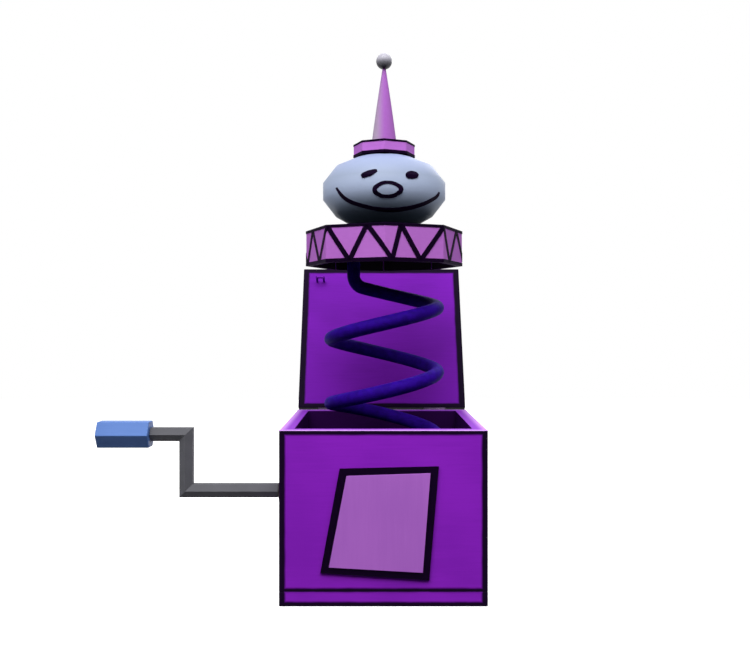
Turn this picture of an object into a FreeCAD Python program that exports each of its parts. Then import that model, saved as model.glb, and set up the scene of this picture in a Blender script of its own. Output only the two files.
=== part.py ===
import FreeCAD
import Part
import Sketcher

import math
import os
import re

# A jack in the box: a plywood cabinet with a crank in its side and a lid hinged
# at the back, and a round-headed figure on a tall coil spring.
#
# Frame: millimetres, +Z up. The origin is the centre of the cabinet's underside,
# the cabinet's front faces -Y and the crank comes out of its -X side.
# Rest pose: lid open against the stops of its hinges, figure at full height.

# ---------------------------------------------------------------- driving sizes

SIZES = {
    # Cabinet
    "box_width": "140", "box_depth": "140", "box_height": "118",
    "wall": "9.5", "base_thickness": "10", "rebate": "4.5", "edge_round": "0.7",
    "lid_set_back": "6.7", "lid_thickness": "8", "lid_gap": "0.3", "lid_open_angle": "116",
    # Plaque on the front: how far each corner lies from the nearest two edges of
    # the front, and how far in from it the field's corner lies
    "plaque_backing": "1.6", "plaque_face": "1.2",
    "upper_left_side": "40.7", "upper_left_edge": "25.5",
    "upper_left_in": "4.6", "upper_left_down": "4.7",
    "upper_right_side": "33", "upper_right_edge": "24",
    "upper_right_in": "5.7", "upper_right_down": "4.4",
    "lower_right_side": "39.4", "lower_right_edge": "18.1",
    "lower_right_in": "4.4", "lower_right_up": "5.4",
    "lower_left_side": "27.8", "lower_left_edge": "23",
    "lower_left_in": "5.8", "lower_left_up": "4",
    # Butt hinges
    "hinge_width": "18", "hinge_inset": "26", "hinge_offset": "1.8",
    "hinge_pin_radius": "1", "knuckle_radius": "1.7", "leaf_thickness": "1",
    "box_leaf_height": "14", "lid_leaf_height": "7", "knuckle_length": "8",
    "knuckle_gap": "0.2", "stop_length": "6", "stop_thickness": "1.2",
    "leaf_screw_spread": "5.5", "box_leaf_screw_drop": "9.1",
    # Screws
    "small_shank": "0.9", "small_head": "1.7", "small_length": "6",
    "base_shank": "1.6", "base_head": "3.2", "base_length": "26",
    "base_screw_inset": "36",
    # Clearances
    "running_clearance": "0.05", "side_clearance": "0.3", "swing_clearance": "0.3",
    # Crank
    "crank_set_back": "26", "crank_height": "73", "crank_reach": "67.4",
    "crank_throw": "39.2", "bar_radius": "5.35", "journal_radius": "4",
    "inner_shaft_radius": "3", "flange_radius": "9", "flange_thickness": "2.2",
    "crank_shoulder": "1",
    "bush_radius": "6", "grip_gap": "25", "grip_length": "36.3", "grip_radius": "10.4",
    "spindle_radius": "3", "grip_clearance": "0.1",
    "end_head_radius": "4", "end_head_height": "1.6",
    "end_shank_radius": "1.19", "end_shank_length": "12",
    # Music movement
    "plate_thickness": "2", "plate_margin": "0.9", "plate_beyond": "14",
    "plate_below": "28", "plate_above": "29", "plate_screw_front": "3",
    "plate_screw_back": "3.5", "plate_screw_end": "4",
    "tooth_size": "1", "pinion_teeth": "12", "wheel_teeth": "30",
    "addendum": "0.9", "dedendum": "1.15", "pressure_angle": "20",
    "backlash": "0.2", "gear_width": "2.5", "plate_to_gear": "0.5",
    "arbor_radius": "1.5", "cam_width": "1.4", "cam_hub": "5.5", "cam_reach": "9",
    "cam_nose": "1.6", "drum_radius": "6", "drum_width": "8.5",
    "tune_pin_radius": "0.4", "tune_pin_height": "0.9", "tune_tracks": "8", "tune_beats": "2",
    "tune_first_angle": "25", "tune_track_angle": "67", "tune_beat_angle": "160",
    "bridge_thickness": "1.5", "bridge_half_width": "4.5", "bridge_end": "4",
    "post_radius": "2.2", "post_below": "20.5", "post_above": "15", "post_set_forward": "1.5",
    "comb_thickness": "0.9", "comb_height": "18", "comb_tine_length": "12",
    "comb_gap": "0.2", "comb_block_height": "8", "comb_rise": "1", "comb_tine_share": "0.6",
    "comb_screw_length": "12", "comb_screw_spread": "2.1", "comb_screw_drop": "1",
    # Lid catch
    "lever_thickness": "1.4", "lever_pivot_set_back": "7", "lever_pivot_above": "20",
    "lever_pivot_radius": "1.5", "pivot_flange": "1.2", "pivot_head": "1",
    "lever_bar": "3", "lever_hub": "4", "lever_hub_lean": "1", "lever_hub_chin": "3",
    "tail_drop": "6", "tail_neck": "8", "tail_shoulder": "12", "arm_throat": "7",
    "arm_foot": "10", "nose_reach": "2", "nose_overlap": "0.2", "nose_tip": "1",
    "nose_height": "3.4", "nose_crest": "0.5",
    "keeper_wire": "1", "keeper_span": "6", "keeper_drop": "8.3", "keeper_ahead": "6.5",
    "keeper_root": "5",
    # Spring
    "coil_radius": "39.8", "tube_radius": "5.15", "coil_pitch": "48.2",
    "coil_half_turns": "8", "coil_first_rise": "18.05", "coil_end_angle": "114.5",
    "coil_seat_angle": "235", "coil_end_bend": "10", "clamp_width": "9", "clamp_wall": "3",
    "clamp_first_angle": "150", "clamp_step_angle": "90", "clamp_count": "3",
    "socket_wall": "2.5", "socket_length": "12", "socket_flange": "1.5", "socket_rim": "4",
    "socket_screw_length": "5.4",
    # Figure
    "figure_side": "1.2", "collar_radius": "58.5", "collar_low": "232.5", "collar_height": "26.5",
    "collar_wall": "4", "collar_top": "5", "neck_dowel_radius": "5",
    "neck_dowel_length": "28", "head_radius": "45.8", "head_belt": "12",
    "shoulder_radius": "36.4", "shoulder_rise": "18.2", "crown_radius": "21.3",
    "crown_rise": "24.9", "chin_rise": "26.8", "head_foot_radius": "16",
    "head_top_radius": "14", "head_drop": "29.2", "head_rise": "25.7", "head_round": "12",
    "brim_radius": "22.9", "brim_height": "10",
    "hat_radius": "9.5", "hat_tip_radius": "1.25", "hat_height": "57.2",
    "ball_radius": "6", "ball_seat": "0.5",
}

# Places that follow from the sizes, each spelled in the sheet's own names.
PLACES = {
    "half_width": "box_width / 2",
    "half_depth": "box_depth / 2",
    "inner_x": "box_width / 2 - wall",
    "inner_y": "box_depth / 2 - wall",
    "hinge_y": "half_depth + hinge_offset",
    "lid_length": "box_depth - lid_set_back",
    "hinge_spread": "half_width - hinge_inset",
    "crank_y": "-half_depth + crank_set_back",
    "plate_inside": "-inner_x + plate_thickness",
    "gear_start": "plate_inside + plate_to_gear",
    "cam_start": "gear_start + gear_width",
    "lever_start": "cam_start + side_clearance",
    "drum_start": "cam_start + cam_width",
    "bridge_start": "drum_start + drum_width + side_clearance",
    "bridge_end_x": "bridge_start + bridge_thickness",
    "pinion_pitch": "tooth_size * pinion_teeth / 2",
    "wheel_pitch": "tooth_size * wheel_teeth / 2",
    "arbor_height": "crank_height - pinion_pitch - wheel_pitch",
    "plate_low": "arbor_height - plate_below",
    "plate_high": "crank_height + plate_above",
    "post_low": "arbor_height - post_below",
    "post_high": "crank_height + post_above",
    "lever_pivot_height": "crank_height + lever_pivot_above",
    "comb_low": "arbor_height + comb_rise - comb_height",
    "comb_face": "crank_y - drum_radius - tune_pin_height - comb_gap",
    "pivot_y": "crank_y + lever_pivot_set_back",
    "keeper_y": "crank_y - keeper_ahead",
    "web_x": "-half_width - crank_reach",
    "grip_start": "web_x - grip_gap",
    "grip_height": "crank_height + crank_throw",
    "grip_end": "grip_start - grip_length - running_clearance",
    "bar_start": "-half_width - flange_thickness - crank_shoulder",
    "seat_height": "base_thickness + tube_radius",
    "collar_inside": "collar_radius - collar_wall / cos(22.5)",
    "collar_ceiling": "collar_low + collar_height - collar_top",
    "collar_crown": "collar_low + collar_height",
    "head_centre": "collar_crown + head_drop",
    "brim_low": "head_centre + head_rise",
    "brim_crown": "brim_low + brim_height",
    "hat_tip": "brim_crown + hat_height",
    "ball_centre": "hat_tip + ball_radius - ball_seat",
}

# Two places this close are the same place, and a flank starts this far over its base.
NEAR = 0.01
JUST_OVER = 1.0001
FLANK_SPANS = 3

DOC = FreeCAD.newDocument("JackInTheBox")
SHEET = DOC.addObject("Spreadsheet::Sheet", "Sizes")
SUB_PARTS = []


def fill_sheet():
    """Write every driving size into the sheet with its name beside it."""
    for row, (name, number) in enumerate(SIZES.items(), start=1):
        SHEET.set(f"A{row}", name)
        SHEET.set(f"B{row}", number)
        SHEET.setAlias(f"B{row}", name)
    DOC.recompute()


def formula(words):
    """Spell a formula of size and place names in the sheet's cells."""
    def spell(found):
        name = found.group()
        if name in PLACES:
            return f"({formula(PLACES[name])})"
        if name in SIZES:
            return f"Sizes.{name}"
        return name
    return re.sub(r"[a-z][a-z_0-9]*", spell, words)


def size(words):
    """The present value of a formula, in millimetres or degrees."""
    return float(SHEET.evalExpression(formula(words)))


# ---------------------------------------------------------------- document helpers

def bind(item, **properties):
    """Tie properties of an object to formulas."""
    for name, words in properties.items():
        item.setExpression(name, formula(words))
    return item


def place(item, x="0", y="0", z="0", axis=None, angle="0"):
    """Tie an object's place, and its turn about an axis, to formulas."""
    if axis:
        turn = FreeCAD.Rotation(FreeCAD.Vector(*axis), 1)
        item.Placement = FreeCAD.Placement(FreeCAD.Vector(), turn)
        item.setExpression("Placement.Rotation.Angle", formula(angle))
    for letter, words in (("x", x), ("y", y), ("z", z)):
        item.setExpression(f"Placement.Base.{letter}", formula(words))
    return item


def sub_part(item, label):
    """Name a finished sub-part."""
    item.Label = label
    SUB_PARTS.append(item)
    return item


def block(x, y, z):
    """A block between two formulas along each axis."""
    item = DOC.addObject("Part::Box", "Block")
    bind(item, Length=f"({x[1]}) - ({x[0]})", Width=f"({y[1]}) - ({y[0]})",
         Height=f"({z[1]}) - ({z[0]})")
    return place(item, x[0], y[0], z[0])


def rod_x(radius, x, y, z):
    """A round rod along X between two formulas, about the axis at y, z."""
    item = DOC.addObject("Part::Cylinder", "RodX")
    bind(item, Radius=radius, Height=f"({x[1]}) - ({x[0]})")
    return place(item, x[0], y, z, (0, 1, 0), "90")


def rod_z(radius, x, y, z):
    """A round rod along Z between two formulas, about the axis at x, y."""
    item = DOC.addObject("Part::Cylinder", "RodZ")
    bind(item, Radius=radius, Height=f"({z[1]}) - ({z[0]})")
    return place(item, x, y, z[0])


def fuse(*shapes):
    """One solid made of several that meet."""
    item = DOC.addObject("Part::MultiFuse", "Fuse")
    item.Shapes = list(shapes)
    item.Refine = True
    return item


def cut(base, *tools):
    """A solid less one or more others."""
    item = DOC.addObject("Part::Cut", "Cut")
    item.Base = base
    item.Tool = tools[0] if len(tools) == 1 else fuse(*tools)
    item.Refine = True
    return item


def solid(label, shape):
    """A sub-part whose shape is worked out in this file."""
    item = DOC.addObject("Part::Feature", "Solid")
    item.Shape = shape
    return sub_part(item, label)


def body(name):
    """An empty part design body."""
    return DOC.addObject("PartDesign::Body", name)


def sketch(owner, plane, offset="0"):
    """A sketch on one of a body's own origin planes, set off along its normal."""
    item = owner.newObject("Sketcher::SketchObject", "Sketch")
    for feature in owner.Origin.OriginFeatures:
        if feature.Role == plane:
            item.AttachmentSupport = (feature, [""])
    item.MapMode = "FlatFace"
    item.setExpression("AttachmentOffset.Base.z", formula(offset))
    return item


def regular(sides, radius, across, up):
    """Corners of a regular outline about a centre, the first one level with it."""
    turn = 360 // sides
    return [(f"{across} + {radius} * cos({turn * corner})", f"{up} + {radius} * sin({turn * corner})")
            for corner in range(sides)]


def hold(item, kind, index, corner, words):
    """Tie one coordinate of a sketch point to a formula."""
    rule = item.addConstraint(Sketcher.Constraint(kind, -1, 1, index, corner, size(words)))
    item.setExpression(f"Constraints[{rule}]", formula(words))


def outline(item, corners):
    """A closed outline through corners given as pairs of formulas."""
    spots = [FreeCAD.Vector(size(across), size(up), 0) for across, up in corners]
    first = item.GeometryCount
    count = len(spots)
    for step in range(count):
        item.addGeometry(Part.LineSegment(spots[step], spots[(step + 1) % count]), False)
    for step in range(count):
        follower = first + (step + 1) % count
        item.addConstraint(Sketcher.Constraint("Coincident", first + step, 2, follower, 1))
    for step, (across, up) in enumerate(corners):
        hold(item, "DistanceX", first + step, 1, across)
        hold(item, "DistanceY", first + step, 1, up)
    return item


def route(item, corners):
    """An open line through corners given as pairs of formulas."""
    spots = [FreeCAD.Vector(size(across), size(up), 0) for across, up in corners]
    last = len(corners) - 2
    for start, end in zip(spots, spots[1:]):
        item.addGeometry(Part.LineSegment(start, end), False)
    for step in range(last):
        item.addConstraint(Sketcher.Constraint("Coincident", step, 2, step + 1, 1))
    for step, (across, up) in enumerate(corners):
        line, end = min(step, last), 2 if step > last else 1
        hold(item, "DistanceX", line, end, across)
        hold(item, "DistanceY", line, end, up)
    return item


def hole(item, radius, across, up):
    """A circle in a sketch, at a centre given by formulas."""
    centre = FreeCAD.Vector(size(across), size(up), 0)
    index = item.addGeometry(Part.Circle(centre, FreeCAD.Vector(0, 0, 1), size(radius)), False)
    hold(item, "DistanceX", index, 3, across)
    hold(item, "DistanceY", index, 3, up)
    rule = item.addConstraint(Sketcher.Constraint("Radius", index, size(radius)))
    item.setExpression(f"Constraints[{rule}]", formula(radius))
    return item


def pad(owner, profile, length, kind="PartDesign::Pad"):
    """Raise a profile along its sketch's normal."""
    item = owner.newObject(kind, "Raise")
    item.Profile = profile
    return bind(item, Length=length)


def sweep(owner, profile, path, corner):
    """Carry a profile along an open line, with one kind of corner."""
    item = owner.newObject("PartDesign::AdditivePipe", "Sweep")
    item.Profile = profile
    item.Spine = path
    item.Transition = corner
    return item


def edges_where(feature, test):
    """Names of a feature's edges whose middle point passes a test."""
    DOC.recompute()
    middles = [edge.CenterOfMass for edge in feature.Shape.Edges]
    return [f"Edge{number}" for number, middle in enumerate(middles, 1) if test(middle)]


def soften(owner, feature, radius, test):
    """Round the edges of a body's feature that pass a test."""
    names = edges_where(feature, test)
    item = owner.newObject("PartDesign::Fillet", "Soften")
    item.Base = (feature, names)
    return bind(item, Radius=radius)


def screw(shank, head, length):
    """A countersunk screw pointing down from a flat head at the origin."""
    cone = Part.makeCone(head, shank, head - shank, FreeCAD.Vector(), FreeCAD.Vector(0, 0, -1))
    stem = Part.makeCylinder(shank, length, FreeCAD.Vector(), FreeCAD.Vector(0, 0, -1))
    return cone.fuse(stem).removeSplitter()


def facing(shape, spot, direction):
    """A copy of a shape made along +Z, turned to face a direction and moved to a spot."""
    turn = FreeCAD.Rotation(FreeCAD.Vector(0, 0, 1), FreeCAD.Vector(*direction))
    copy = shape.copy()
    copy.Placement = FreeCAD.Placement(FreeCAD.Vector(*spot), turn)
    return copy


def screw_set(label, kind, spots, direction):
    """One node holding a set of like screws whose heads face one way."""
    one = screw(size(f"{kind}_shank"), size(f"{kind}_head"), size(f"{kind}_length"))
    return solid(label, Part.makeCompound([facing(one, spot, direction) for spot in spots]))


# ---------------------------------------------------------------- cabinet

def make_base_screws():
    """Screws up through the base into the middle of each wall."""
    across, along = size("half_width - base_screw_inset"), size("half_depth - base_screw_inset")
    side, end = size("half_width - wall / 2"), size("half_depth - wall / 2")
    spots = [(x, y, 0) for x in (-side, side) for y in (-along, along)]
    spots += [(x, y, 0) for x in (-across, across) for y in (-end, end)]
    return screw_set("base_screws", "base", spots, (0, 0, -1))


def make_base(screws):
    """The base board, with the countersunk holes that its screws fill."""
    owner = body("Base")
    plan = outline(sketch(owner, "XY_Plane"), [
        ("-half_width", "-half_depth"), ("half_width", "-half_depth"),
        ("half_width", "half_depth"), ("-half_width", "half_depth")])
    board = pad(owner, plan, "base_thickness")
    soften(owner, board, "edge_round", lambda middle: True)
    return sub_part(cut(owner, screws), "base_board")


def end_panel(label, side, *tools):
    """The front or back panel, rebated at both ends for the side panels."""
    owner = body("EndPanel")
    face, inside = f"{side} * half_depth", f"{side} * inner_y"
    lap = f"{side} * (inner_y + rebate)"
    plan = outline(sketch(owner, "XY_Plane", "base_thickness"), [
        ("-half_width", face), ("half_width", face), ("half_width", lap),
        ("inner_x", lap), ("inner_x", inside), ("-inner_x", inside),
        ("-inner_x", lap), ("-half_width", lap)])
    panel = pad(owner, plan, "box_height - base_thickness")
    outer = size(face)
    soften(owner, panel, "edge_round", lambda middle: abs(middle.y - outer) < NEAR)
    return sub_part(cut(owner, *tools), label)


def side_panel(label, side, *tools):
    """A side panel, seated in the rebates of the front and back."""
    owner = body("SidePanel")
    face, inside, reach = f"{side} * half_width", f"{side} * inner_x", "inner_y + rebate"
    plan = outline(sketch(owner, "XY_Plane", "base_thickness"), [
        (face, f"-({reach})"), (face, reach), (inside, reach), (inside, f"-({reach})")])
    panel = pad(owner, plan, "box_height - base_thickness")
    outer, top = size(face), size("box_height")
    soften(owner, panel, "edge_round",
           lambda middle: abs(middle.x - outer) < NEAR and abs(middle.z - top) < NEAR)
    return sub_part(cut(owner, *tools), label)


def make_plaque():
    """A leaning four-sided plaque of two glued layers on the front panel."""
    corners = {
        "upper_left": ("-half_width + upper_left_side", "box_height - upper_left_edge"),
        "upper_right": ("half_width - upper_right_side", "box_height - upper_right_edge"),
        "lower_right": ("half_width - lower_right_side", "lower_right_edge"),
        "lower_left": ("-half_width + lower_left_side", "lower_left_edge"),
    }
    inset = {
        "upper_left": (" + upper_left_in", " - upper_left_down"),
        "upper_right": (" - upper_right_in", " - upper_right_down"),
        "lower_right": (" - lower_right_in", " + lower_right_up"),
        "lower_left": (" + lower_left_in", " + lower_left_up"),
    }
    field = [(corners[name][0] + inset[name][0], corners[name][1] + inset[name][1])
             for name in corners]
    layers = (("plaque_back", list(corners.values()), "half_depth", "plaque_backing"),
              ("plaque_field", field, "half_depth + plaque_backing", "plaque_face"))
    for label, shape, start, thickness in layers:
        owner = body("Plaque")
        pad(owner, outline(sketch(owner, "XZ_Plane", start), shape), thickness)
        sub_part(owner, label)


# ---------------------------------------------------------------- lid and hinges

def on_lid(item):
    """Swing a piece drawn about the hinge axis, lid shut, to the open lid."""
    return place(item, "0", "hinge_y", "box_height", (1, 0, 0), "-lid_open_angle")


def hinge_bore(start, end):
    """The hole through a hinge's knuckles, about its own axis."""
    return rod_x("hinge_pin_radius + running_clearance", (start, end), "0", "0")


def make_hinge(label, middle):
    """A butt hinge: box leaf, lid leaf with an opening stop, and pin."""
    left, right = f"{middle} - hinge_width / 2", f"{middle} + hinge_width / 2"
    inner = (f"{middle} - knuckle_length / 2", f"{middle} + knuckle_length / 2")
    room = "knuckle_radius + swing_clearance"
    back = "-hinge_offset + leaf_thickness"

    fixed = fuse(block((left, right), ("-hinge_offset", back), ("-box_leaf_height", "0")),
                 rod_x("knuckle_radius", (left, right), "0", "0"))
    fixed = cut(fixed, rod_x(room, inner, "0", "0"), hinge_bore(left, right))
    place(fixed, "0", "hinge_y", "box_height")

    moving = fuse(block((left, right), ("-hinge_offset", back), ("0", "lid_leaf_height")),
                  rod_x("knuckle_radius", (inner[0] + " + knuckle_gap", inner[1] + " - knuckle_gap"),
                        "0", "0"))
    notches = [rod_x(room, (left, inner[0] + " + knuckle_gap"), "0", "0"),
               rod_x(room, (inner[1] + " - knuckle_gap", right), "0", "0")]
    swung = on_lid(cut(moving, *notches, hinge_bore(left, right)))
    rear = "half_depth + leaf_thickness + running_clearance"
    stop = block((inner[0] + " + knuckle_gap", inner[1] + " - knuckle_gap"),
                 (rear, rear + " + stop_thickness"),
                 ("box_height - stop_length", "box_height - hinge_pin_radius - running_clearance"))
    pin = rod_x("hinge_pin_radius", (left, right), "hinge_y", "box_height")
    sub_part(pin, f"{label}_hinge_pin")
    return fixed, fuse(swung, stop)


def hinge_screws(label, middles, up, turned):
    """Two screws through each leaf, facing back from it."""
    aside, face = size("leaf_screw_spread"), size("leaf_thickness - hinge_offset")
    one = screw(size("small_shank"), size("small_head"), size("small_length"))
    spots = [(middle + step, face, up) for middle in middles for step in (-aside, aside)]
    shape = Part.makeCompound([facing(one, spot, (0, 1, 0)) for spot in spots])
    angle = -size("lid_open_angle") if turned else 0
    spot = FreeCAD.Vector(0, size("hinge_y"), size("box_height"))
    shape.Placement = FreeCAD.Placement(spot, FreeCAD.Rotation(FreeCAD.Vector(1, 0, 0), angle))
    return solid(label, shape)


def make_keeper():
    """The wire staple under the lid that the catch holds."""
    owner = body("Keeper")
    half, top = "keeper_span / 2", "lid_gap + keeper_root"
    low = "lid_gap - keeper_drop + keeper_wire"
    middle = "lever_start + lever_thickness / 2"
    line = "hinge_y - keeper_y"
    path = route(sketch(owner, "XZ_Plane", line), [
        (f"{middle} - {half}", top), (f"{middle} - {half}", low),
        (f"{middle} + {half}", low), (f"{middle} + {half}", top)])
    end = hole(sketch(owner, "XY_Plane", top), "keeper_wire", f"{middle} - {half}", f"-({line})")
    sweep(owner, end, path, "Round corner")
    return on_lid(sub_part(owner, "lid_keeper"))


def make_lid(screws, keeper):
    """The lid board, drawn shut about the hinge axis and swung open."""
    owner = body("Lid")
    plan = outline(sketch(owner, "XY_Plane", "lid_gap"), [
        ("-half_width", "-hinge_offset - lid_length"), ("half_width", "-hinge_offset - lid_length"),
        ("half_width", "-hinge_offset"), ("-half_width", "-hinge_offset")])
    board = pad(owner, plan, "lid_thickness")
    soften(owner, board, "edge_round", lambda middle: True)
    on_lid(owner)
    return sub_part(cut(owner, screws, keeper), "lid_board")


def make_lid_and_hinges():
    """Both hinges with their screws, the keeper and the lid that carries them."""
    middles = (-size("hinge_spread"), size("hinge_spread"))
    box_screws = hinge_screws("hinge_screws_box", middles, -size("box_leaf_screw_drop"), False)
    lid_screws = hinge_screws("hinge_screws_lid", middles,
                              size("lid_leaf_height / 2 + lid_gap"), True)
    for label, middle in (("left", "(-hinge_spread)"), ("right", "hinge_spread")):
        fixed, moving = make_hinge(label, middle)
        sub_part(cut(fixed, box_screws), f"{label}_box_leaf")
        sub_part(cut(moving, lid_screws), f"{label}_lid_leaf")
    make_lid(lid_screws, make_keeper())
    return box_screws


# ---------------------------------------------------------------- crank

def make_crank_bush():
    """The flanged bush that the crank's journal turns in."""
    sleeve = rod_x("bush_radius", ("-half_width", "-inner_x"), "crank_y", "crank_height")
    flange = rod_x("flange_radius", ("-half_width - flange_thickness", "-half_width"),
                   "crank_y", "crank_height")
    bore = rod_x("journal_radius + running_clearance",
                 ("-half_width - flange_thickness", "-inner_x"), "crank_y", "crank_height")
    return sub_part(cut(fuse(sleeve, flange), bore), "crank_bush")


def make_crank(screw_shape):
    """One bent six-sided bar with a turned journal and a grip spindle."""
    owner = body("Crank")
    path = route(sketch(owner, "XZ_Plane", "-crank_y"), [
        ("bar_start", "crank_height"), ("web_x", "crank_height"),
        ("web_x", "grip_height"), ("grip_start + side_clearance", "grip_height")])
    section = outline(sketch(owner, "YZ_Plane", "bar_start"),
                      regular(6, "bar_radius", "crank_y", "crank_height"))
    sweep(owner, section, path, "Right corner")
    journal = rod_x("journal_radius", ("bar_start", "plate_inside"), "crank_y", "crank_height")
    shaft = rod_x("inner_shaft_radius", ("plate_inside", "bridge_end_x"), "crank_y", "crank_height")
    spindle = rod_x("spindle_radius", ("grip_end", "grip_start + side_clearance"),
                    "crank_y", "grip_height")
    return sub_part(cut(fuse(owner, journal, shaft, spindle), screw_shape), "crank_arm")


def make_grip():
    """The six-sided wooden grip, bored to turn on its spindle."""
    owner = body("Grip")
    section = outline(sketch(owner, "YZ_Plane", "grip_start - grip_length"),
                      regular(6, "grip_radius", "crank_y", "grip_height"))
    hole(section, "spindle_radius + grip_clearance", "crank_y", "grip_height")
    bar = pad(owner, section, "grip_length")
    outer = size("(spindle_radius + grip_radius) / 2")
    middle_y, middle_z = size("crank_y"), size("grip_height")
    soften(owner, bar, "edge_round",
           lambda middle: math.hypot(middle.y - middle_y, middle.z - middle_z) > outer)
    return sub_part(owner, "crank_grip")


def make_grip_screw():
    """The round-headed screw that keeps the grip on."""
    head = rod_x("end_head_radius", ("grip_end - end_head_height", "grip_end"),
                 "crank_y", "grip_height")
    shank = rod_x("end_shank_radius", ("grip_end", "grip_end + end_shank_length"),
                  "crank_y", "grip_height")
    return sub_part(fuse(head, shank), "grip_screw")


# ---------------------------------------------------------------- music movement

def involute(base, radius):
    """Polar angle of an involute of a base circle where it reaches a radius."""
    pressure = math.acos(base / radius)
    return math.tan(pressure) - pressure


def polar(radius, angle):
    """A point square to X, at an angle round from +Y towards +Z."""
    return FreeCAD.Vector(0, radius * math.cos(angle), radius * math.sin(angle))


def curve(spots):
    """A smooth edge through points."""
    line = Part.BSplineCurve()
    line.interpolate(spots)
    return line.toShape()


def tooth(teeth, centre):
    """Edges of one tooth with involute flanks, and of the gap that follows it."""
    pitch = size("tooth_size") * teeth / 2
    base = pitch * math.cos(math.radians(size("pressure_angle")))
    tip, root = pitch + size("addendum"), pitch - size("dedendum")
    half = math.pi / 2 / teeth - size("backlash") / 4 / pitch
    start = max(base, root) * JUST_OVER
    radii = [start + (tip - start) * step / FLANK_SPANS for step in range(FLANK_SPANS + 1)]
    lean = [half + involute(base, pitch) - involute(base, radius) for radius in radii]
    rising = [polar(radius, centre - angle) for radius, angle in zip(radii, lean)]
    falling = [polar(radius, centre + angle) for radius, angle in zip(radii, lean)]
    foot, heel = polar(root, centre - lean[0]), polar(root, centre + lean[0])
    dip = polar(root, centre + math.pi / teeth)
    following = polar(root, centre + 2 * math.pi / teeth - lean[0])
    return [Part.makeLine(foot, rising[0]), curve(rising),
            Part.Arc(rising[-1], polar(tip, centre), falling[-1]).toShape(),
            curve(falling[::-1]), Part.makeLine(falling[0], heel),
            Part.Arc(heel, dip, following).toShape()]


def gear(teeth, width, bore, phase):
    """A spur gear along +X from the origin, with a tooth at a phase."""
    turn = 2 * math.pi / teeth
    edges = []
    for number in range(teeth):
        edges += tooth(teeth, phase + turn * number)
    blank = Part.Face(Part.Wire(edges)).extrude(FreeCAD.Vector(width, 0, 0))
    drill = Part.makeCylinder(bore, width, FreeCAD.Vector(), FreeCAD.Vector(1, 0, 0))
    return blank.cut(drill)


def make_gears():
    """The crank's pinion and the wheel it drives, a tooth in a gap on their centre line."""
    start, width = size("gear_start"), size("gear_width")
    pinion = gear(int(size("pinion_teeth")), width, size("inner_shaft_radius"), -math.pi / 2)
    pinion.translate(FreeCAD.Vector(start, size("crank_y"), size("crank_height")))
    teeth = int(size("wheel_teeth"))
    wheel = gear(teeth, width, size("arbor_radius"), math.pi / 2 + math.pi / teeth)
    wheel.translate(FreeCAD.Vector(start, size("crank_y"), size("arbor_height")))
    solid("crank_pinion", pinion)
    solid("music_wheel", wheel)


def make_cam():
    """The cam whose nose knocks the lid catch once a turn of the drum."""
    owner = body("Cam")
    nose_height = "arbor_height - cam_reach + cam_nose"
    lean = "acos((cam_hub - cam_nose) / (cam_reach - cam_nose))"
    tangents = (("cam_hub", "arbor_height", lean), ("cam_nose", nose_height, lean),
                ("cam_nose", nose_height, f"-{lean}"), ("cam_hub", "arbor_height", f"-{lean}"))
    web = outline(sketch(owner, "YZ_Plane", "cam_start"), [
        (f"crank_y + {radius} * sin({turn})", f"{up} - {radius} * cos({turn})")
        for radius, up, turn in tangents])
    pad(owner, web, "cam_width")
    for radius, up in (("cam_hub", "arbor_height"), ("cam_nose", nose_height)):
        disc = hole(sketch(owner, "YZ_Plane", "cam_start"), radius, "crank_y", up)
        pad(owner, disc, "cam_width")
    return sub_part(cut(owner, arbor_rod()), "trip_cam")


def arbor_rod():
    """The arbor that carries wheel, cam and drum."""
    return rod_x("arbor_radius", ("-inner_x + side_clearance", "bridge_end_x"), "crank_y", "arbor_height")


def make_drum():
    """The music drum, its tune pins set in slanting rows."""
    drum = rod_x("drum_radius", ("drum_start", "drum_start + drum_width"), "crank_y", "arbor_height")
    pins = []
    tracks = int(size("tune_tracks"))
    for track in range(tracks):
        for beat in range(int(size("tune_beats"))):
            pin = DOC.addObject("Part::Cylinder", "TunePin")
            bind(pin, Radius="tune_pin_radius", Height="drum_radius + tune_pin_height")
            angle = f"tune_first_angle + {track} * tune_track_angle + {beat} * tune_beat_angle"
            place(pin, f"drum_start + drum_width * {(track + 0.5) / tracks}", "crank_y",
                  "arbor_height", (1, 0, 0), angle)
            pins.append(pin)
    return sub_part(cut(fuse(drum, *pins), arbor_rod()), "music_drum")


def make_plate(screws):
    """The plate on the left wall that carries the movement."""
    owner = body("Plate")
    front, back = "-inner_y + plate_margin", "crank_y + plate_beyond"
    face = outline(sketch(owner, "YZ_Plane", "-inner_x"), [
        (front, "plate_low"), (back, "plate_low"), (back, "plate_high"), (front, "plate_high")])
    hole(face, "journal_radius + running_clearance", "crank_y", "crank_height")
    hole(face, "arbor_radius + running_clearance", "crank_y", "arbor_height")
    round_corners(owner, pad(owner, face, "plate_thickness"), "plate_thickness",
                  "-inner_x + plate_thickness / 2", ("plate_low", "plate_high"))
    pivot = rod_x("lever_pivot_radius", ("-inner_x", "plate_inside"), "pivot_y",
                  "lever_pivot_height")
    return sub_part(cut(owner, screws, pivot), "mechanism_plate")


def round_corners(owner, strip, radius, middle_x, ends):
    """Round a flat strip's corners at its lower and upper end."""
    halfway, heights = size(middle_x), [size(end) for end in ends]
    soften(owner, strip, radius, lambda middle: abs(middle.x - halfway) < NEAR
           and min(abs(middle.z - height) for height in heights) < NEAR)


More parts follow.
